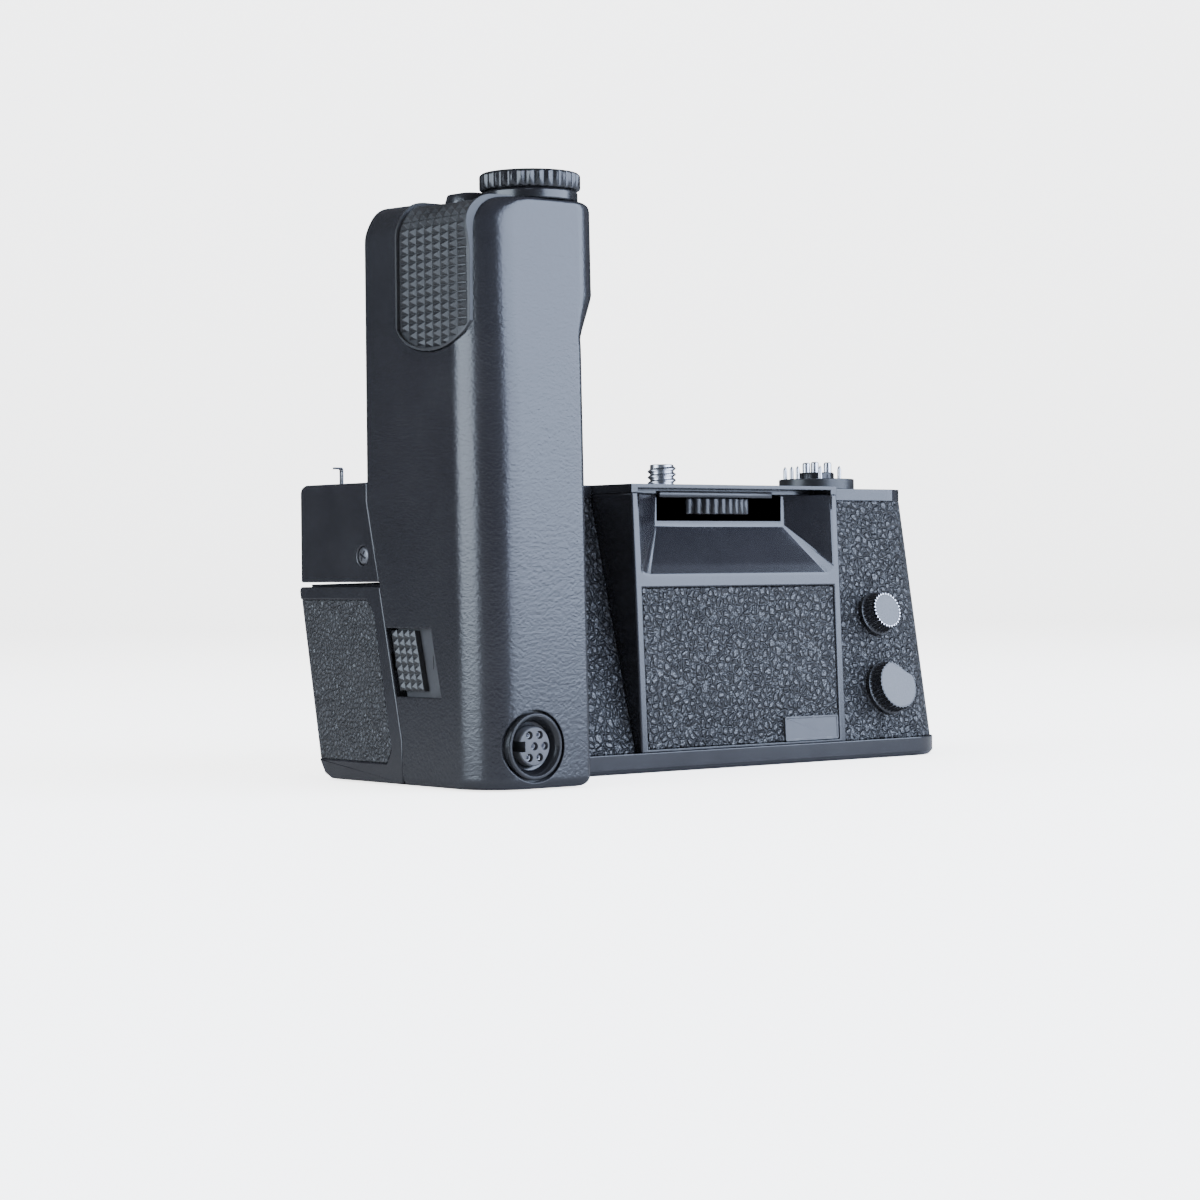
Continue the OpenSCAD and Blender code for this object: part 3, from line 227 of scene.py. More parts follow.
# Dust: a few pale specks, each a fraction of a tenth of a millimetre.
dust, given, result = effect("dust", {"Spacing": 900, "Amount": 0.5}, ["Mask"])
where = add(dust, "TexCoord").outputs["Object"]
speck = add(dust, "TexVoronoi", {"Vector": where, "Scale": given["Spacing"]})
near = ramp(dust, speck.outputs["Distance"], 0.07, 0.03)
few = add(dust, "TexNoise", {"Vector": where, "Scale": 160, "Detail": 3})
some = ramp(dust, few.outputs["Fac"], 0.55, 0.7)
lit = times(dust, near, some)
left = times(dust, lit, given["Amount"], use_clamp=True)
dust.links.new(left, result["Mask"])


def wired(tree, skin, shade, gloss, bump):
    tree.links.new(shade, skin.inputs["Base Color"])
    tree.links.new(gloss, skin.inputs["Roughness"])
    tree.links.new(bump.outputs[0], skin.inputs["Normal"])


def coated(name, colour, faded, rough, peel, worn=(0, 0.2), bare=(0.2, 0.2, 0.21), dusty=0.25, size=90,
           metal=0):
    """A skin whose colour and roughness change from clean to handled. peel holds its grain's fineness,
    the share of broad lumps and the relief, and worn how much of an edge is bare and how wide, in mm."""
    fineness, lumps, relief = peel
    bared, edge = worn[0], worn[1] / 1000
    made, tree, skin = new_skin(name)
    patches = placed(tree, handling, Size=size)["Mask"]
    peel = placed(tree, grain, Fineness=fineness, Lumps=lumps)
    shade = tinted(tree, patches, (*colour, 1), (*faded, 1))
    shade = tinted(tree, placed(tree, dust, Amount=dusty)["Mask"], shade, (0.35, 0.35, 0.34, 1))
    if bared:
        shade = tinted(tree, placed(tree, wear, Reach=edge * 1.5, Amount=bared)["Mask"], shade, (*bare, 1))
    gloss = ramp(tree, patches, 0, 1, rough[0], rough[1])
    rounded = add(tree, "Bevel", {"Radius": edge}, samples=4)
    bump = add(tree, "Bump", {"Height": peel["Height"], "Distance": relief / 1000,
                              "Normal": rounded.outputs[0]})
    wired(tree, skin, shade, gloss, bump)
    skin.inputs["Metallic"].default_value = metal
    return made


lacquer = coated("satin_lacquer", black, faded_black, rough=(0.18, 0.21), peel=(3200, 0.8, 0.005),
                 worn=(0.35, 0.2), dusty=0.1)


def fit(name, piece, body, coat, slot, *nodes, crease=35, placed_already=False):
    """Makes a finished piece of a mesh in millimetres, riding a body, in the place of CAD nodes."""
    bmesh.ops.recalc_face_normals(piece, faces=piece.faces)
    if not placed_already:
        bmesh.ops.transform(piece, matrix=to_frame, verts=piece.verts)
    mesh = bpy.data.meshes.new(name)
    piece.to_mesh(mesh)
    piece.free()
    mesh.materials.append(coat)
    mesh.shade_smooth()
    mesh.set_sharp_from_angle(angle=radians(crease))
    made = bpy.data.objects.new(name, mesh)
    scene.collection.objects.link(made)
    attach(made, body)
    if nodes:
        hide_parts(*nodes)
    return made


def even(made):
    """Keeps large flat faces shading flat beside rounded edges."""
    shade = made.modifiers.new("even_shading", "WEIGHTED_NORMAL")
    shade.keep_sharp = True
    shade.weight = 60


def softened(node, body, coat, slot, width=0.2, crease=35, segments=2, kept_flat=None):
    """A CAD node with its sharp edges rounded to a width in mm. kept_flat picks faces to rim."""
    piece = bmesh.new()
    piece.from_mesh(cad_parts[node].data)
    bmesh.ops.remove_doubles(piece, verts=piece.verts, dist=0.000002)
    bmesh.ops.dissolve_limit(piece, angle_limit=radians(0.6), verts=piece.verts, edges=piece.edges)
    if kept_flat:
        def large():
            return [f for f in piece.faces if f.calc_area() > 0.000012 and kept_flat(f)]
        flat = large()
        folds = [e for e in piece.edges if len(e.link_faces) == 2
                 and all(f in flat for f in e.link_faces) and e.calc_face_angle() < radians(8)]
        bmesh.ops.dissolve_edges(piece, edges=folds)
        bmesh.ops.inset_individual(piece, faces=large(), thickness=0.00055)
    made = fit(node + "_finished", piece, body, coat, slot, node, crease=crease, placed_already=True)
    rim = made.modifiers.new("edges", "BEVEL")
    rim.limit_method = "ANGLE"
    rim.angle_limit = radians(crease)
    rim.width = width / 1000
    rim.segments = segments
    rim.harden_normals = True
    rim.use_clamp_overlap = False
    even(made)
    return made


def recoat(node, coat):
    """Gives a CAD node its coat and leaves its own mesh."""
    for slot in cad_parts[node].material_slots:
        slot.material = coat


softened("main_casing", "body", lacquer, "body_black", width=0.15)
softened("left_casing", "body", lacquer, "body_black", width=0.3)
# The centre frame's paint is worn smooth in the finger recess, which mirrors the dark above it.
recess_foot, recess_front, recess_back = 0.0408, -0.0236, -0.017


def in_recess(face):
    middle = face.calc_center_median()
    return middle.z > recess_foot and recess_front < middle.y < recess_back


frame_lacquer = coated("frame_lacquer", black, faded_black, rough=(0.19, 0.22), peel=(3200, 0.8, 0.005),
                       worn=(0.35, 0.2), dusty=0.1)
frame_tree = frame_lacquer.node_tree
spot = add(frame_tree, "SeparateXYZ", {"Vector": add(frame_tree, "TexCoord").outputs["Object"]})
above = ramp(frame_tree, spot.outputs["Z"], 0.0406, 0.0414)
inside = ramp(frame_tree, spot.outputs["Y"], -0.0234, -0.0228)
polished = times(frame_tree, above, inside)
smooth = ramp(frame_tree, polished, 0, 1, 0.19, 0.14)
frame_tree.links.new(smooth, frame_tree.nodes["Principled BSDF"].inputs["Roughness"])
softened("centre_frame", "body", frame_lacquer, "body_black", width=0.35, crease=18, segments=3,
         kept_flat=in_recess)
recoat("top_plate", lacquer)
softened("base_plate", "body", lacquer, "body_black", width=0.12)
softened("rear_housing", "body", lacquer, "body_black", width=0.25)


# The leather panels are thin leathercloth glued into the casing: black, embossed with small round
# pebbles between wavy valleys, glossy on top of the pebbles where fingers have polished them.
pebbles, given, result = effect("pebbles", {"Fineness": 1350}, ["Height", "ValleyShade"])
where = add(pebbles, "TexCoord").outputs["Object"]
bend = add(pebbles, "TexNoise", {"Vector": where, "Scale": 500, "Detail": 1})
bent = add(pebbles, "VectorMath", {0: bend.outputs["Color"], 1: (0.5, 0.5, 0.5)}, operation="SUBTRACT")
pushed = add(pebbles, "VectorMath", {0: bent.outputs[0], "Scale": 0.0007}, operation="SCALE")
moved = add(pebbles, "VectorMath", {0: where, 1: pushed.outputs[0]}, operation="ADD")
squeezed = add(pebbles, "Mapping", {"Vector": moved.outputs[0], "Scale": (1, 1, 0.9)})
cells = add(pebbles, "TexVoronoi", {"Vector": squeezed.outputs[0], "Scale": given["Fineness"]},
            feature="DISTANCE_TO_EDGE")
dome = ramp(pebbles, cells.outputs["Distance"], 0.0, 0.26, interpolation_type="SMOOTHSTEP")
fine = add(pebbles, "TexNoise", {"Vector": where, "Scale": 2100, "Detail": 1})
crinkle = times(pebbles, fine.outputs["Fac"], 0.95)
whole = add(pebbles, "Math", {0: dome, 1: crinkle}, operation="ADD")
# Painted shade: a mask over the valleys between the pebbles, which darkens them to near black.
valley_shade = ramp(pebbles, cells.outputs["Distance"], 0.16, 0.05)
pebbles.links.new(whole.outputs[0], result["Height"])
pebbles.links.new(valley_shade, result["ValleyShade"])


def leathered(name, low, high, fineness, relief, rough, dull):
    made, tree, skin = new_skin(name)
    hide = placed(tree, pebbles, Fineness=fineness)
    patches = placed(tree, handling, Size=120)["Mask"]
    shade = tinted(tree, patches, low, high)
    # Painted shade: the valleys between the pebbles are darkened to near black.
    shade = tinted(tree, hide["ValleyShade"], shade, (0.004, 0.004, 0.005, 1))
    shade = tinted(tree, placed(tree, dust, Amount=0.3)["Mask"], shade, (0.3, 0.3, 0.29, 1))
    gloss = ramp(tree, patches, 0, 1, rough, dull)
    bump = add(tree, "Bump", {"Height": hide["Height"], "Distance": relief})
    wired(tree, skin, shade, gloss, bump)
    skin.inputs["Specular IOR Level"].default_value = 0.75
    return made


leathercloth = leathered("leathercloth", (0.014, 0.014, 0.016, 1), (0.02, 0.02, 0.022, 1), fineness=680,
                         relief=0.00045, rough=0.3, dull=0.36)
cap_leathercloth = leathered("cap_leathercloth", (0.016, 0.016, 0.018, 1), (0.024, 0.024, 0.026, 1),
                             fineness=1100, relief=0.00025, rough=0.36, dull=0.48)
softened("leather_left", "body", leathercloth, "leather", width=0.2)
softened("leather_centre", "body", leathercloth, "leather", width=0.2)
softened("leather_right", "body", leathercloth, "leather", width=0.2)
softened("leather_cap", "holder", cap_leathercloth, "leather", width=0.15)


# The name plate is a thin strip of grey anodised aluminium with a raised rim, cemented into a
# step at the foot of the centre leather. It carries nothing.
plate_grey = coated("anodised_grey", (0.05, 0.051, 0.055), (0.065, 0.066, 0.07), rough=(0.36, 0.45),
                    peel=(5200, 0.4, 0.003), worn=(0.5, 0.1), bare=(0.5, 0.5, 0.5), metal=0.3)


def frame_y(z):
    """The front of the centre frame leans back 2.5 mm between its foot at 4.1 and its top."""
    return -0.1 + 2.5 * (z - 4.1) / 55.1


def round_off(piece, edges, width, segments):
    bmesh.ops.bevel(piece, geom=edges, offset=width, affect="EDGES", segments=segments, profile=0.5,
                    material=-1)


plate_x, plate_z = 103.35, 7.38
plate_w, plate_thick, plate_h = 15.4, 0.45, 5.15
strip = bmesh.new()
bmesh.ops.create_cube(strip, size=1)
bmesh.ops.scale(strip, vec=(plate_w, plate_thick, plate_h), verts=strip.verts)
corners = [e for e in strip.edges if abs(e.verts[0].co.y - e.verts[1].co.y) > 0.3]
round_off(strip, corners, width=0.35, segments=4)
front = min(strip.faces, key=lambda f: f.calc_center_median().y)
bmesh.ops.inset_region(strip, faces=[front], thickness=0.32, depth=0)
bmesh.ops.inset_region(strip, faces=[front], thickness=0.12, depth=-0.12)
for v in strip.verts:
    v.co += Vector((plate_x, frame_y(v.co.z + plate_z) - 0.03, plate_z))
fit("bare_plate", strip, "body", plate_grey, "plate_grey", "name_plate")


# The grip is one hollow moulding of black plastic, sprayed with a fine texture. Its front leans
# back, its head swells to the right under the dial, and its left edge rolls over into the top.
texture = coated("grip_texture", (0.011, 0.011, 0.013), (0.013, 0.013, 0.015), rough=(0.23, 0.26),
                 peel=(1700, 0.35, 0.05), worn=(0.35, 0.35), bare=(0.12, 0.12, 0.125), dusty=0.0, size=60)
grip_w, grip_top, shoulder_r = 25.1, 112.4, 6.5
left_corner_r, right_corner_r = 9.5, 1.75
grip_rear, back_cover_top = 16.3, 59.3


def eased(low, high, t):
    """A smooth step from 0 to 1."""
    t = max(0, min(1, (t - low) / (high - low)))
    return t * t * (3 - 2 * t)


def parting(z):
    """The seam between the grip and the battery's end cap: upright at the foot, then sloping back."""
    return min(grip_rear, 5 + 0.24 * max(0, z - 8.7))


def grip_front(z):
    return -22.7 + 2.1 * z / grip_top


def rounded_in(radius, past):
    """How far an edge of this radius has drawn in at a height past where it starts to turn."""
    return radius - sqrt(max(0, radius ** 2 - max(0, past) ** 2))


def grip_ring(z):
    left_r = left_corner_r - 0.8 * eased(72, 97, z)
    right_r = right_corner_r + 4.85 * eased(84, 96, z)
    swell = 0.55 * eased(85, 95.5, z) + 0.45 * max(0, min(1, (z - 86) / 8.5))
    foot = rounded_in(2, 2.3 - z)
    x0 = rounded_in(shoulder_r, z - grip_top + shoulder_r) + 0.5 * foot
    x1 = grip_w + 5.3 * swell - rounded_in(2, z - grip_top + 2) - foot
    y0 = grip_front(z) + rounded_in(1, z - grip_top + 1) + 0.6 * foot
    y1 = parting(z) - 0.05 if z < back_cover_top else grip_rear - 0.1
    ring = [(x0, y1, z), (x0, (y1 + y0 + left_r) / 2, z)]
    for a in range(0, 91, 9):
        ring.append((x0 + left_r * (1 - cos(radians(a))), y0 + left_r * (1 - sin(radians(a))), z))
    for a in range(0, 91, 9):
        ring.append((x1 - right_r * (1 - sin(radians(a))), y0 + right_r * (1 - cos(radians(a))), z))
    return ring + [(x1, (y1 + y0 + right_r) / 2, z), (x1, y1, z)]


def drawn_through(rings):
    """A closed skin over a stack of rings that have the same number of points."""
    piece = bmesh.new()
    loop = [piece.verts.new(p) for p in rings[0]]
    edges = [piece.edges.new((loop[i - 1], loop[i])) for i in range(len(loop))]
    piece.faces.new(loop)
    for ring in rings[1:]:
        grown = bmesh.ops.extrude_edge_only(piece, edges=edges)["geom"]
        made = {v for v in grown if isinstance(v, bmesh.types.BMVert)}
        loop = [next(e.other_vert(v) for e in v.link_edges if e.other_vert(v) in made) for v in loop]
        for v, p in zip(loop, ring):
            v.co = p
        edges = [piece.edges.get((loop[i - 1], loop[i])) for i in range(len(loop))]
    piece.faces.new(loop)
    bmesh.ops.recalc_face_normals(piece, faces=piece.faces)
    return piece


def turned(profile, centre=(0, 0, 0), axis=(0, 0, 1), steps=48):
    """Spins (radius, height) points round an axis through centre, in so many steps."""
    piece = bmesh.new()
    line = [piece.verts.new((max(r, 0), 0, h)) for r, h in profile]
    edges = [piece.edges.new(pair) for pair in zip(line, line[1:])]
    bmesh.ops.spin(piece, geom=line + edges, cent=(0, 0, 0), axis=(0, 0, 1), dvec=(0, 0, 0), angle=2 * pi,
                   steps=steps, use_merge=True)
    bmesh.ops.remove_doubles(piece, verts=piece.verts, dist=0.0001)
    bmesh.ops.recalc_face_normals(piece, faces=piece.faces)
    turn = Vector((0, 0, 1)).rotation_difference(Vector(axis)).to_matrix().to_4x4()
    bmesh.ops.transform(piece, matrix=Matrix.Translation(centre) @ turn, verts=piece.verts)
    return piece


def block(low, high):
    piece = bmesh.new()
    bmesh.ops.create_cube(piece, size=1)
    for v in piece.verts:
        v.co = Vector([a + (b - a) * (c + 0.5) for a, b, c in zip(low, high, v.co)])
    return piece


def along_x(x0, x1, points):
    return drawn_through([[(x, y, z) for y, z in points] for x in (x0, x1)])


def cut(piece, tools, way="DIFFERENCE"):
    """Takes the tools away from a piece, or joins them to it."""
    def stand(form, name):
        mesh = bpy.data.meshes.new(name)
        form.to_mesh(mesh)
        form.free()
        made = bpy.data.objects.new(name, mesh)
        scene.collection.objects.link(made)
        return made
    blank = stand(piece, "blank")
    cutters = [stand(tool, "cutter") for tool in tools]
    for cutter in cutters:
        step = blank.modifiers.new("cut", "BOOLEAN")
        step.operation, step.solver, step.object = way, "EXACT", cutter
    bpy.context.view_layer.update()
    result = bmesh.new()
    result.from_mesh(blank.evaluated_get(bpy.context.evaluated_depsgraph_get()).to_mesh())
    for made in [blank] + cutters:
        mesh = made.data
        bpy.data.objects.remove(made)
        bpy.data.meshes.remove(mesh)
    return result


pad_y, pad_w, pad_low, pad_foot_r = -5.8, 23, 83.4, 11.5
shoulder_low = grip_top - shoulder_r


def pad_edge(y):
    """The height of the pad's round foot at each y."""
    return pad_low + 6.4 * (1 - sqrt(max(0, 1 - ((y - pad_y) / pad_foot_r) ** 2)))


def pad_path(s, lift):
    """The pad's line up the grip's side and over its shoulder, s from the foot and lift proud of it."""
    straight = shoulder_low - pad_low
    if s < straight:
        return (-lift, pad_low + s)
    turn, r = (s - straight) / shoulder_r, shoulder_r + lift
    if turn < pi / 2:
        return (shoulder_r - r * cos(turn), shoulder_low + r * sin(turn))
    return (shoulder_r + s - straight - shoulder_r * pi / 2, grip_top + lift)


def pad_slab(low, high, gap, reach):
    """A slab of the pad's shape between two heights over the grip, a gap inside its outline."""
    rings = []
    for k in range(25):
        y = pad_y + (pad_w / 2 - gap) * (k / 12 - 1)
        foot = pad_edge(pad_y + (y - pad_y) * 11.45 / pad_foot_r) - pad_low + gap
        steps = [foot + (reach - foot) * (i / 36) for i in range(37)]
        outline = [pad_path(s, high) for s in steps] + [pad_path(s, low) for s in reversed(steps)]
        rings.append([(x, y, z) for x, z in outline])
    return drawn_through(rings)


heights = [0.3, 0.4, 0.6, 0.9, 1.3, 1.8, 2.3, 8.7, 20, 32, 44, 55.7]
heights += [back_cover_top - 0.05, back_cover_top + 0.05, 64, 68, 72, 75, 78, 80, 82, 84]
heights += [85 + 0.6 * k for k in range(19)] + [97, 99, 102, shoulder_low]
heights += [shoulder_low + shoulder_r * sin(radians(a)) for a in (7, 14, 21, 28, 35, 42, 47)]
heights += [grip_top - below for below in (1.3, 1, 0.7, 0.45, 0.25, 0.1, 0)]
socket_x, socket_z = 11.2, 8.4
dial_x, dial_y = 19.6, -11.5
cover_outline = [(1.6, 59.2), (23.5, 59.2), (23.5, 86.2), (28.8, 94.6), (28.8, 108.2), (26.4, 110.8),
                 (6.2, 110.8), (3, 108.9), (1.6, 105.2)]
cover_seat = drawn_through([[(x, y, z) for x, z in cover_outline] for y in (14.5, 18)])


def latch_opening(depth, top, foot, front_top, front_foot, past):
    """A cut from the seam forward, between two heights, whose front slopes as the latch's does."""
    return along_x(*depth, [(parting(top) + past, top), (front_top, top), (front_foot, foot),
                            (parting(foot) + past, foot)])


latch_window = latch_opening((-1, 1.9), top=30.7, foot=17.4, front_top=-4.6, front_foot=-7.9, past=1)
plate_pocket = latch_opening((1.75, 2.6), top=31.7, foot=16.3, front_top=-6.5, front_foot=-9.7, past=1)
spring_well = block((1.7, -9, 22), (6, 7.5, 27))
socket_bore = turned([(0, -6), (6.9, -6), (6.9, 1.6), (4.9, 1.6), (4.9, 9), (0, 9)],
                     (socket_x, grip_front(socket_z), socket_z), (0, 1, 0))
dial_seat = turned([(0, -2), (5, -2), (5, 3), (0, 3)], (dial_x, dial_y, grip_top))
button_bore = turned([(0, -12), (1.9, -12), (1.9, 3), (0, 3)], (dial_x, dial_y, grip_top), steps=32)


def fuller(piece):
    """The top rises a little towards the back."""
    for v in piece.verts:
        v.co.z += 0.9 * eased(-8, 14, v.co.y) * eased(108.5, grip_top, v.co.z)
    return piece


pad_pocket = pad_slab(low=-0.95, high=2, gap=0, reach=40)
shell = cut(drawn_through([grip_ring(z) for z in heights]),
            [pad_pocket, cover_seat, latch_window, plate_pocket, spring_well, socket_bore, dial_seat,
             button_bore])
even(fit("grip_moulding", fuller(shell), "body", texture, "grip_black", "grip_shell", crease=30))
# A low round hump stands behind the dial and steadies the camera's front.
hump_side = [(5.3 - 1.1 * (a / 90), 3.1 * sin(radians(a)) ** 0.8) for a in range(8, 60, 8)]
hump_crown = [(4.0 * cos(radians(a)) + 0.2, 2.3 + 0.95 * sin(radians(a))) for a in range(20, 90, 10)]
hump = turned([(5.3, 0)] + hump_side + hump_crown + [(0, 3.25)], (15.5, 2, grip_top - 0.1))
fit("grip_hump", hump, "body", texture, "grip_black", crease=50)
softened("grip_back", "body", texture, "grip_black", width=0.3)


# The finger pad is a strip of black rubber moulded with rows of small pyramids, set into the
# grip's left side and bent over its shoulder. Its rim stands a little proud of the grip.
rubber = coated("pad_rubber", (0.012, 0.012, 0.013), (0.02, 0.02, 0.021), rough=(0.42, 0.55),
                peel=(5200, 0.4, 0.006), worn=(0.25, 0.12), bare=(0.06, 0.06, 0.06), dusty=0.4)


def pyramid(piece, centre, out, along, half_along, half_across, height):
    """Adds one four-sided stud with a blunt tip."""
    across_way = Vector(out).cross(Vector(along)).normalized()
    turn = Matrix((across_way, Vector(along).normalized(), Vector(out).normalized())).transposed().to_4x4()
    place = Matrix.Translation(centre) @ turn @ Matrix.Diagonal((half_across, half_along, height, 1))
    made = bmesh.ops.create_cone(piece, cap_ends=False, segments=4, radius1=sqrt(2), radius2=0.12, depth=1,
        matrix=place @ Matrix.Translation((0, 0, 0.5)) @ Matrix.Rotation(pi / 4, 4, "Z"))
    tip = [v for v in made["verts"] if (place.inverted() @ v.co).z > 0.9]
    bmesh.ops.contextual_create(piece, geom=tip)


def hugged(piece):
    """Bends a flat piece of the pad round the grip's front left corner, and raises it with the top."""
    r = left_corner_r - 0.8
    for v in piece.verts:
        past = max(0, grip_front(v.co.z) + r - v.co.y)
        v.co.x += (r - sqrt(max(1, r * r - past * past))) * 0.8 * (1 - eased(101, 110, v.co.z))
    return fuller(piece)


pad_proud, pad_rim, pad_reach = 0.35, 0.7, 37.2
pad = cut(pad_slab(low=-2.2, high=pad_proud, gap=0.2, reach=pad_reach),
          [pad_slab(low=-pad_proud, high=3, gap=pad_rim, reach=pad_reach + 1.8)])
fit("pad_strip", hugged(pad), "body", rubber, "rubber_pad", "grip_pad", crease=30)
studs = bmesh.new()
row_pitch, column_pitch, stud_half_w, stud_high = 1.655, 2.6, 1.24, 0.7
for k in range(8):
    y = pad_y + (k - 3.5) * column_pitch
    foot = max(pad_edge(y - 1.2), pad_edge(y + 1.2)) - pad_low + 0.75
    for n in range(18):
        low, high = max(1.0 + row_pitch * n, foot), 0.9 + row_pitch * (n + 1)
        if high - foot < 0.5:
            continue
        middle, sunk = (low + high) / 2, -pad_proud - 0.01
        base, outside = pad_path(middle, sunk), pad_path(middle, sunk + 1)
        above = pad_path(middle + 0.05, sunk)
        lower = min(1, (high - low) / 1.4) * (1 - 0.5 * eased(24, 31, low))
        pyramid(studs, (base[0], y, base[1]), (outside[0] - base[0], 0, outside[1] - base[1]),
                (above[0] - base[0], 0, above[1] - base[1]), half_along=(high - low) / 2,
                half_across=stud_half_w, height=stud_high * lower)
fit("pad_pyramids", hugged(studs), "body", rubber, "rubber_pad", crease=20)


# The release stands on the grip's top: a fixed black collar, a knurled plastic ring that turns
# round it, and a button with a dished top that sinks into the ring.
gloss = coated("gloss_lacquer", (0.008, 0.008, 0.009), (0.012, 0.012, 0.013), rough=(0.2, 0.28),
               peel=(2600, 0.6, 0.003), worn=(0.4, 0.15), bare=(0.25, 0.25, 0.26))
moulded = coated("moulded_plastic", (0.012, 0.012, 0.013), (0.018, 0.018, 0.019), rough=(0.3, 0.4),
                 peel=(3800, 0.6, 0.004), worn=(0.35, 0.15), bare=(0.12, 0.12, 0.12))


def fluted(radius, depth, ribs, levels, bore, centre=(0, 0, 0), fine=6, sharp=0.8):
    """A ring whose edge is cut into ribs. Each level is a height, how far it is drawn in there, and the
    share of the ribs' depth that it has."""
    count = ribs * fine
    ways = [(cos(2 * pi * i / count), sin(2 * pi * i / count)) for i in range(count)]
    ribbed = [(0.5 - 0.5 * cos(2 * pi * i / fine)) ** sharp for i in range(count)]
    rings = []
    for height, inset, share in levels:
        reaches = [radius - inset - depth * share * rib for rib in ribbed]
        rings.append([(reach * u, reach * w, height) for reach, (u, w) in zip(reaches, ways)])
    for height in (levels[-1][0], levels[0][0]):
        rings.append([(bore * u, bore * w, height) for u, w in ways])
    piece = drawn_through(rings)
    flat = [f for f in piece.faces if len(f.verts) > 6]
    bmesh.ops.delete(piece, geom=flat, context="FACES_ONLY")
    ends = [e for e in piece.edges if e.is_boundary]
    bmesh.ops.bridge_loops(piece, edges=ends)
    bmesh.ops.translate(piece, verts=piece.verts, vec=centre)
    return piece


collar = turned([(4.7, 0.02), (9.0, 0.02), (9.25, 0.25), (9.25, 1.7), (8.9, 2.1), (6.4, 2.1), (6.4, 3.7),
                 (4.7, 3.7), (4.7, 0.02)], (dial_x, dial_y, grip_top), steps=96)
fit("dial_collar_turned", collar, "body", gloss, "gloss_black", "dial_collar")
ring_levels = [(114.62, 0.75, 0), (114.75, 0.35, 0.5), (115.05, 0.1, 1), (117.3, 0.1, 1),
               (117.7, 0.25, 0.8), (117.95, 0.6, 0.2), (118.0, 0.9, 0)]
fit("dial_ring", fluted(radius=9.9, depth=0.42, ribs=34, levels=ring_levels, bore=6.5,
                        centre=(dial_x, dial_y, 0)), "dial", gloss, "gloss_black", "mode_ring", crease=40)
fit("dial_ring_top", turned([(5.15, 117.4), (5.15, 117.8), (5.35, 118.0), (6.6, 118.0), (6.6, 117.4),
                             (5.15, 117.4)], (dial_x, dial_y, 0), steps=64), "dial", gloss, "gloss_black")
dish = [(r, 116.75 + 0.4 * (r / 4.1) ** 2) for r in (3.6, 3, 2.4, 1.6, 0.8)]
press = turned([(0, 106.4), (1.6, 106.4), (1.6, 114.5), (4.6, 114.5), (4.6, 116.75), (4.45, 117.0),
                (4.15, 117.15)] + dish + [(0, 116.75)], (dial_x, dial_y, 0), steps=64)
fit("button_cap", press, "button", moulded, "black_plastic", "release_button")


# The remote socket is a turned ring with a sloping inner face, screwed into the grip round a
# grey insulator with six sprung tubes and a notch that keys the plug.
insulator_grey = coated("insulator_grey", (0.045, 0.045, 0.048), (0.06, 0.06, 0.064), rough=(0.35, 0.45),
                        peel=(4200, 0.5, 0.004), worn=(0.4, 0.1), bare=(0.3, 0.3, 0.3))
steel = coated("bright_steel", (0.55, 0.55, 0.57), (0.46, 0.46, 0.48), rough=(0.22, 0.34),
               peel=(2600, 0.5, 0.002), dusty=0.1, metal=1.0)
mouth = (socket_x, grip_front(socket_z), socket_z)
inward = (0, 1, 0)
rim = turned([(3.92, 5.8), (4.85, 5.8), (4.85, 1.5), (6.4, 1.5), (6.4, 0.1), (6.15, -0.15), (5.75, -0.15),
              (5.5, 0.05), (5.0, 0.9), (4.6, 1.9), (3.92, 2.1), (3.92, 5.8)], mouth, inward, steps=72)
fit("socket_rim", rim, "body", gloss, "gloss_black", "socket_ring")
seats = [(2.45 * cos(radians(a)), 2.45 * sin(radians(a))) for a in (60, 120, 240, 300, 0)] + [(0, 0)]
places = [(mouth[0] + u, mouth[1], mouth[2] - w) for u, w in seats]
tools = [turned([(0, -0.7), (0.8, -0.7), (0.8, 4.2), (0, 4.2)], place, inward, steps=24)
         for place in places]
tools.append(block((mouth[0] - 5, mouth[1] - 1, mouth[2] - 1),
                   (mouth[0] - 2.2, mouth[1] + 7, mouth[2] + 1)))
body = cut(turned([(0, 0.35), (3.5, 0.35), (3.72, 0.6), (3.85, 2.4), (3.85, 6.2), (0, 6.2)], mouth, inward,
                  steps=64), tools)
fit("socket_body", body, "body", insulator_grey, "insulator", "socket_insert", crease=30)


def joined(pieces):
    whole = bmesh.new()
    for piece in pieces:
        mesh = bpy.data.meshes.new("joining")
        piece.to_mesh(mesh)
        whole.from_mesh(mesh)
        piece.free()
        bpy.data.meshes.remove(mesh)
    return whole


tube = [(0.36, 1.1), (0.48, 0.9), (0.6, 1.1), (0.6, 4.1), (0.36, 4.1), (0.36, 1.1)]
tubes = joined(turned(tube, place, inward, steps=20) for place in places)
fit("socket_tubes", tubes, "body", steel, "contact_gold", "socket_contacts")


# The battery latch is a short slider with a field of small pyramids that a thumb pushes forward
# in its window. It runs on a dark plate that carries an engraved arrowhead.
latch_grey = coated("latch_plate_grey", (0.03, 0.03, 0.032), (0.04, 0.04, 0.042), rough=(0.42, 0.5),
                    peel=(3000, 0.5, 0.004), worn=(0.3, 0.1))
arrow = along_x(1.6, 1.95, [(-5.6, 24.1), (-2.8, 25.4), (-2.8, 22.8)])
groove = along_x(1.4, 2.9, [(1.1, 25.4), (6.8, 25.4), (6.8, 23.0), (1.1, 23.0)])
rail = [(parting(31.5) - 1.3, 31.6), (-6.4, 31.6), (-9.6, 16.4), (parting(16.4) - 1.3, 16.4)]
runner = cut(along_x(1.82, 2.5, rail), [arrow, groove])
fit("latch_runner", runner, "body", latch_grey, "body_black", "latch_plate", crease=30)
fit("latch_stop", block((2.4, -7.6, 22.6), (5.0, -6.5, 25.8)), "body", latch_grey, "body_black")
thumb_foot, thumb_h, thumb_y, thumb_lean, thumb_w = 18.6, 11.6, -1.5, 2.9, 8
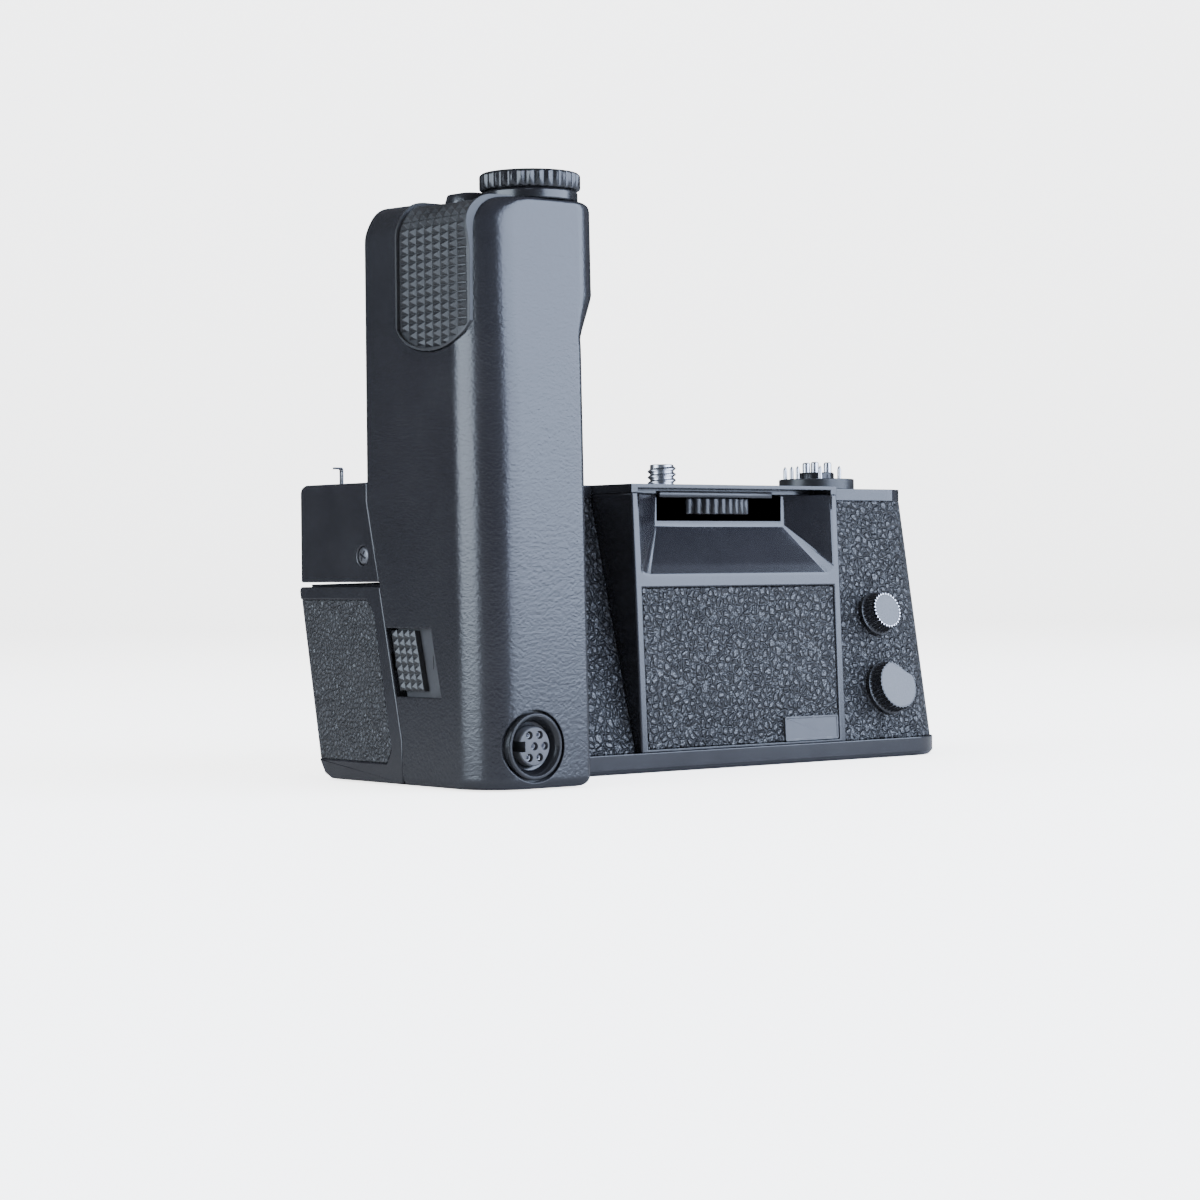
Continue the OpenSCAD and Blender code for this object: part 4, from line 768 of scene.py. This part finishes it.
thumb_top, thumb_top_y = thumb_foot + thumb_h, thumb_y + thumb_lean
thumb = along_x(0.55, 1.78, [(thumb_top_y + thumb_w, thumb_top), (thumb_top_y, thumb_top),
                             (thumb_y, thumb_foot), (thumb_y + thumb_w, thumb_foot)])
round_off(thumb, [e for e in thumb.edges if max(v.co.x for v in e.verts) < 1], width=0.25, segments=2)
fit("latch_thumb", thumb, "latch", moulded, "body_black", "latch_slider", crease=30)
grips = bmesh.new()
rows, columns = 7, 4
for n in range(rows):
    up = (n + 0.5) / rows
    for k in range(columns):
        y = thumb_y + thumb_lean * up + thumb_w * (k + 0.5) / columns
        pyramid(grips, (0.56, y, thumb_foot + thumb_h * up), (-1, 0, 0), (0, 0.243, 0.97), half_along=0.76,
                half_across=0.9, height=0.5)
fit("latch_pyramids", grips, "latch", moulded, "body_black", crease=20)
bolt_tip, spring_tab, neck = (block((0.9, 6.2, 23), (1.7, 8.4, 25)),
                              block((1.4, 5.1, 23.2), (4.4, 6.7, 25.2)),
                              block((0.8, 5.5, 23), (1.6, 6.6, 25)))
fit("latch_bolt", cut(bolt_tip, [spring_tab, neck], "UNION"), "latch", moulded, "body_black")


def wound(piece, lead, turns, steps):
    """Winds a closed outline up round the vertical axis, steps to the turn, and closes both ends."""
    outline = list(piece.verts) + list(piece.edges)
    bmesh.ops.spin(piece, geom=outline, cent=(0, 0, 0), axis=(0, 0, 1), dvec=(0, 0, lead / steps),
                   angle=2 * pi * turns, steps=steps * turns)
    bmesh.ops.holes_fill(piece, edges=[e for e in piece.edges if e.is_boundary], sides=0)


def coil(name, node, centre, axis, radius, wire, length, turns):
    """A spring of round steel wire, standing on centre along its axis, that takes a CAD node's place."""
    piece = bmesh.new()
    lead = (length - wire) / turns
    section = Matrix.Translation((radius, 0, wire / 2)) @ Matrix.Rotation(pi / 2, 4, "X")
    bmesh.ops.create_circle(piece, cap_ends=False, segments=8, radius=wire / 2, matrix=section)
    wound(piece, lead, turns, 24)
    turn = Vector((0, 0, 1)).rotation_difference(Vector(axis)).to_matrix().to_4x4()
    bmesh.ops.transform(piece, matrix=Matrix.Translation(centre) @ turn, verts=piece.verts)
    fit(name, piece, "body", steel, "steel", node, crease=60)


coil("latch_coil", "latch_spring", (3.7, -6.4, 24.2), inward, radius=0.7, wire=0.35, length=7.7, turns=9)
coil("release_coil", "release_spring", (dial_x, dial_y, 110.45), (0, 0, 1), radius=3.05, wire=0.55,
     length=2.4, turns=3)


# The battery holder slides out to the left: a lacquered end cap with a leather panel, and behind
# it a moulded tray with two decks of cells. The battery latch's bolt drops into a keep in the cap.
softened("end_cap", "holder", lacquer, "body_black", width=0.3)
tray_black = coated("tray_plastic", (0.02, 0.02, 0.021), (0.03, 0.03, 0.031), rough=(0.45, 0.55),
                    peel=(2400, 0.7, 0.006))
softened("battery_tray", "holder", tray_black, "black_plastic", width=0.2)
sleeve = coated("cell_sleeve", (0.05, 0.09, 0.16), (0.06, 0.1, 0.18), rough=(0.28, 0.36),
                peel=(900, 0.5, 0.003))
softened("battery_cells", "holder", sleeve, "cell_sleeve", width=0.4)
contact_gold = coated("plated_contact", (0.62, 0.5, 0.28), (0.5, 0.4, 0.22), rough=(0.22, 0.32),
                      peel=(3000, 0.5, 0.002), metal=1.0)
softened("cell_contacts", "holder", steel, "contact_gold", width=0.1)
softened("chamber_contacts", "body", contact_gold, "contact_gold", width=0.1)


# The camera screw is turned from steel with a quarter-inch thread, and its thumb wheel is black
# metal with rounded ribs. A dished washer under the wheel keeps it up against the top.
thread_pitch, thread_turns, thread_foot = 1.27, 5, 57.2
screw_axis = (screw_x, screw_y, 0)
screw = turned([(0, 49.2), (2.4, 49.2), (2.4, 56.4), (2.55, 56.4), (2.55, 64.2), (2.2, 64.3), (0, 64.3)],
               screw_axis)
helix = bmesh.new()
for r, h in ((2.45, -0.6), (3.06, -0.12), (3.06, 0.12), (2.45, 0.6)):
    helix.verts.new((r, 0, thread_foot + h))
helix.verts.ensure_lookup_table()
for pair in ((0, 1), (1, 2), (2, 3), (3, 0)):
    helix.edges.new([helix.verts[i] for i in pair])
wound(helix, thread_pitch, thread_turns, 36)
bmesh.ops.translate(helix, verts=helix.verts, vec=screw_axis)
fit("screw_thread", helix, "screw", steel, "steel", crease=25)
fit("screw_core", screw, "screw", steel, "steel", "camera_screw")
wheel_black = coated("wheel_lacquer", (0.012, 0.012, 0.013), (0.02, 0.02, 0.022), rough=(0.28, 0.36),
                     peel=(2600, 0.6, 0.004), worn=(0.6, 0.25), bare=(0.25, 0.25, 0.26))
wheel_levels = [(53.15, 0.15, 1), (53.3, 0, 1), (56.3, 0, 1), (56.45, 0.15, 1)]
fit("wheel_ribs", fluted(radius=20.3, depth=0.8, ribs=60, levels=wheel_levels, bore=3.15, centre=screw_axis,
                         fine=8, sharp=3), "screw", wheel_black, "gloss_black", "thumb_wheel", crease=40)
valance = block((67.6, 7.3, 56.62), (99.2, 8.3, 58.0))
round_off(valance, list(valance.edges), width=0.12, segments=2)
fit("window_valance", valance, "body", lacquer, "body_black")
softened("wheel_washer", "screw", wheel_black, "steel", width=0.1)
softened("screw_bracket", "body", steel, "steel", width=0.2)
bush_top, crest_r, thread_depth = 4.1, 2.55, 0.5
ridges = [(crest_r + thread_depth * (k % 2), bush_top - thread_pitch / 4 * k) for k in range(1, 12)]
bush = turned([(5.0, 0.02), (5.0, bush_top), (crest_r, bush_top)] + ridges
              + [(2.9, 0.25), (3.2, 0.02), (5.0, 0.02)], screw_axis)
fit("tripod_thread", bush, "body", steel, "steel", "tripod_bush", crease=25)


# The contact disc is black moulded plastic under the camera's contacts. Five plated pins stand
# on springs in it, round the steel coupler whose three prongs turn the camera's winding shaft.
softened("contact_disc", "body", moulded, "insulator", width=0.25)
coupler_x, coupler_y, prong_r = 131.7, 28, 2.8
coupler_axis = (coupler_x, coupler_y, 0)
pin_outline = [(0, 57.62), (0.45, 57.62), (0.45, 63.7), (0.42, 63.85), (0.36, 64.05), (0.2, 64.4),
               (0.1, 64.58), (0, 64.6)]
pins = [(-5.1, 4.9), (-6.1, 1.6), (-6.4, -0.7), (-3.7, -5.2), (1.35, -6.1)]
for k, (u, w) in enumerate(pins, 1):
    pin = turned(pin_outline, (coupler_x + u, coupler_y + w, 0), steps=24)
    fit("sprung_pin_%d" % k, pin, "pin_%d" % k, steel, "contact_gold", "contact_pin_%d" % k)
dog = turned([(0, 58), (1.6, 57.8), (4.0, 57.8), (4.0, 62.9), (3.8, 63.2), (2.2, 63.3), (2.0, 63.05),
              (0, 63.05)], coupler_axis)
oxide = coated("black_oxide", (0.02, 0.02, 0.022), (0.03, 0.03, 0.032), rough=(0.2, 0.3),
               peel=(2600, 0.5, 0.002), worn=(0.4, 0.1), bare=(0.3, 0.3, 0.3), metal=0.7)
fit("coupler_hub", dog, "coupler", oxide, "steel", "drive_coupler")
prong = [(0, 63), (0.88, 63), (0.88, 65.2), (0.78, 65.45), (0.55, 65.58), (0, 65.6)]
prong_places = [(coupler_x + prong_r * cos(radians(a)), coupler_y + prong_r * sin(radians(a)), 0)
                for a in (100, 220, 340)]
prongs = joined(turned(prong, place, steps=24) for place in prong_places)
fit("coupler_prongs", prongs, "coupler", steel, "steel")
brass = coated("gear_brass", (0.52, 0.36, 0.12), (0.44, 0.3, 0.1), rough=(0.28, 0.38),
               peel=(2600, 0.5, 0.003), metal=1.0)


# The drive under the top: a brass pinion on the motor, a stepped wheel on its own post and the
# coupler's wheel, all between a pressed gear plate and a bush under the top.
for node in ("coupler_gear", "reduction_gear", "motor_pinion"):
    recoat(node, brass)
softened("coupler_bush", "body", brass, "brass", width=0.15)
softened("gear_plate", "body", steel, "steel", width=0.15)
softened("motor_can", "body", steel, "steel", width=0.5)


# The circuit boards are green glass cloth, and the release stands on a small black switch that is
# soldered to the board in the grip's head.
board_green = coated("board_green", (0.01, 0.06, 0.03), (0.015, 0.075, 0.04), rough=(0.3, 0.4),
                     peel=(2600, 0.5, 0.004))
softened("circuit_board", "body", board_green, "board", width=0.1)
softened("grip_board", "body", board_green, "board", width=0.1)
softened("release_switch", "body", moulded, "black_plastic", width=0.2)


# The leaf is a bent spring of bright steel that stands in a slot behind the grip and hooks over
# the camera's edge.
leaf_outline = [(5.8, 57.4), (6.2, 57.4), (6.2, 62.3), (6.1, 62.6), (5.8, 62.8), (4.2, 62.8), (4.2, 62.4),
                (5.6, 62.4), (5.8, 62.2)]
leaf = drawn_through([[(x, y, z) for x, z in leaf_outline] for y in (33.55, 34.45)])
fit("bent_leaf", leaf, "body", steel, "steel", "leaf_hook", crease=40)


# Two knurled plastic caps close the terminals on the sloping front. The upper one has a bright
# toothed rim and the lower one a flat cut across its face, and each pulls off its metal socket.
slope_foot, slope_h, slope_y, slope_lean = 4.1, 52.5, 1.7, 13.9


def on_slope(x, z):
    return Vector((x, slope_y + slope_lean * (z - slope_foot) / slope_h, z))


upper, lower = on_slope(131.1, 31.1), on_slope(130.1, 14.8)
out = Vector((0, -slope_h, slope_lean))
upright = Vector((0, 0, 1)).rotation_difference(out).to_matrix().to_4x4()
cap_black = coated("cap_plastic", (0.012, 0.012, 0.014), (0.018, 0.018, 0.02), rough=(0.22, 0.3),
                   peel=(2300, 0.6, 0.008), worn=(0.7, 0.13), bare=(0.3, 0.31, 0.33))
sanded = coated("sanded_face", (0.085, 0.088, 0.096), (0.11, 0.112, 0.12), rough=(0.5, 0.6),
                peel=(1900, 0.4, 0.12), dusty=0.5)
cap_high, cap_foot, disc_low, disc_top = 4.2, 1.1, 4.1, 4.22


def cap(radius, face, ribs):
    """A cap: a plain foot, then ribs that taper in to the rim of its face."""
    taper, high, foot = radius - face - 0.15, cap_high, cap_foot
    levels = [(0.03, 0, 0), (foot, 0, 0), (foot + 0.12, 0.3, 0), (foot + 0.3, 0.3, 1),
              (high - 0.2, taper, 1), (high - 0.02, taper + 0.1, 0.6), (high, taper + 0.2, 0.3)]
    return fluted(radius=radius, depth=0.34, ribs=ribs, levels=levels, bore=0.02)


def disc(radius, narrowed, steps):
    return turned([(0, disc_low), (radius, disc_low), (radius - narrowed, disc_top), (0, disc_top)],
                  steps=steps)


def pressed_on(name, piece, which, coat, slot, *nodes):
    place = upper if which == "upper_cap" else lower
    bmesh.ops.transform(piece, matrix=Matrix.Translation(place) @ upright, verts=piece.verts)
    fit(which + name, piece, which, coat, slot, *nodes)


hollow = [(0, -1), (3.3, -1), (3.3, 3.6), (0, 3.6)]
pressed_on("_moulding", cut(cap(radius=4.85, face=3.75, ribs=30), [turned(hollow, steps=32)]), "upper_cap",
           cap_black, "gloss_black", "cap_upper")
teeth = fluted(radius=4.05, depth=0.5, ribs=30, levels=[(3.9, 0, 1), (4.18, 0, 1), (4.24, 0.08, 1)],
               bore=3.5)
pressed_on("_teeth", teeth, "upper_cap", steel, "steel")
pressed_on("_face", disc(radius=3.45, narrowed=0.05, steps=48), "upper_cap", sanded, "gloss_black")
chord = block((3.8, -10, 2.6), (14, 10, 9))
bmesh.ops.rotate(chord, verts=chord.verts, cent=(0, 0, 0), matrix=Matrix.Rotation(radians(62), 3, "Z"))
foot_face = cut(disc(radius=5.05, narrowed=0.1, steps=64), [chord.copy()])
foot_cap = cut(cap(radius=5.95, face=5.3, ribs=36), [turned(hollow, steps=32), chord])
pressed_on("_moulding", foot_cap, "lower_cap", cap_black, "gloss_black", "cap_lower")
pressed_on("_face", foot_face, "lower_cap", sanded, "gloss_black")
softened("terminal_sockets", "body", steel, "steel", width=0.1)


# The controls on the rear housing: a white frame counter with black divisions behind a flush
# window, a rewind lever, a check button and two red lamps.
white = coated("counter_white", (0.75, 0.75, 0.73), (0.7, 0.7, 0.68), rough=(0.4, 0.5),
               peel=(3000, 0.4, 0.003))
softened("counter_dial", "counter", white, "white_plastic", width=0.1)
marks = bmesh.new()
counter_at, marks_r, divisions, frames = (78, 46.22, 47.6), 4.3, 40, 36
for k in range(frames):
    long = 1.1 if k % 5 == 0 else 0.6
    bar = bmesh.ops.create_cube(marks, size=1)["verts"]
    bmesh.ops.scale(marks, vec=(0.16, 0.04, long), verts=bar)
    bmesh.ops.translate(marks, verts=bar, vec=(0, 0, marks_r - long / 2))
    bmesh.ops.rotate(marks, verts=bar, cent=(0, 0, 0),
                     matrix=Matrix.Rotation(2 * pi * k / divisions, 3, "Y"))
    bmesh.ops.translate(marks, verts=bar, vec=counter_at)
fit("counter_marks", marks, "counter", moulded, "white_plastic")
glass, glass_tree, glass_skin = new_skin("clear_window")
scuffs = placed(glass_tree, handling, Size=200)["Mask"]
hazed = ramp(glass_tree, scuffs, 0, 1, 0.03, 0.1)
glass_tree.links.new(hazed, glass_skin.inputs["Roughness"])
glass_skin.inputs["Base Color"].default_value = (0.95, 0.97, 0.97, 1)
glass_skin.inputs["Transmission Weight"].default_value = 1
glass_skin.inputs["IOR"].default_value = 1.49
softened("counter_window", "body", glass, "clear", width=0.15)
softened("rewind_lever", "lever", moulded, "black_plastic", width=0.2)
softened("check_button", "check", moulded, "black_plastic", width=0.25)
ruby = coated("lamp_red", (0.3, 0.012, 0.012), (0.36, 0.016, 0.016), rough=(0.12, 0.2),
              peel=(2600, 0.4, 0.002))
softened("lamp_lenses", "body", ruby, "lamp_red", width=0.05, crease=60)


# A cross-head screw, sunk in the left casing's side, holds the casing to the frame.
head = turned([(0, -0.4), (1.8, -0.4), (1.8, 0.2), (1.55, 0.5), (0.9, 0.68), (0, 0.72)], steps=40)
slots = [block((-1.1, -0.2, 0.2), (1.1, 0.2, 2)), block((-0.2, -1.1, 0.2), (0.2, 1.1, 2))]
head = cut(head, slots)
head_at, slots_turned = (0.7, 18.1, 44.8), radians(28)
to_left = Matrix.Rotation(slots_turned, 4, "X") @ Matrix.Rotation(radians(-90), 4, "Y")
bmesh.ops.transform(head, matrix=Matrix.Translation(head_at) @ to_left, verts=head.verts)
screw_steel = coated("screw_steel", (0.1, 0.1, 0.11), (0.14, 0.14, 0.15), rough=(0.28, 0.4),
                     peel=(3000, 0.5, 0.003), worn=(0.6, 0.1), bare=(0.4, 0.4, 0.4), metal=0.8)
fit("cross_screw", head, "body", screw_steel, "steel", "casing_screws", crease=30)
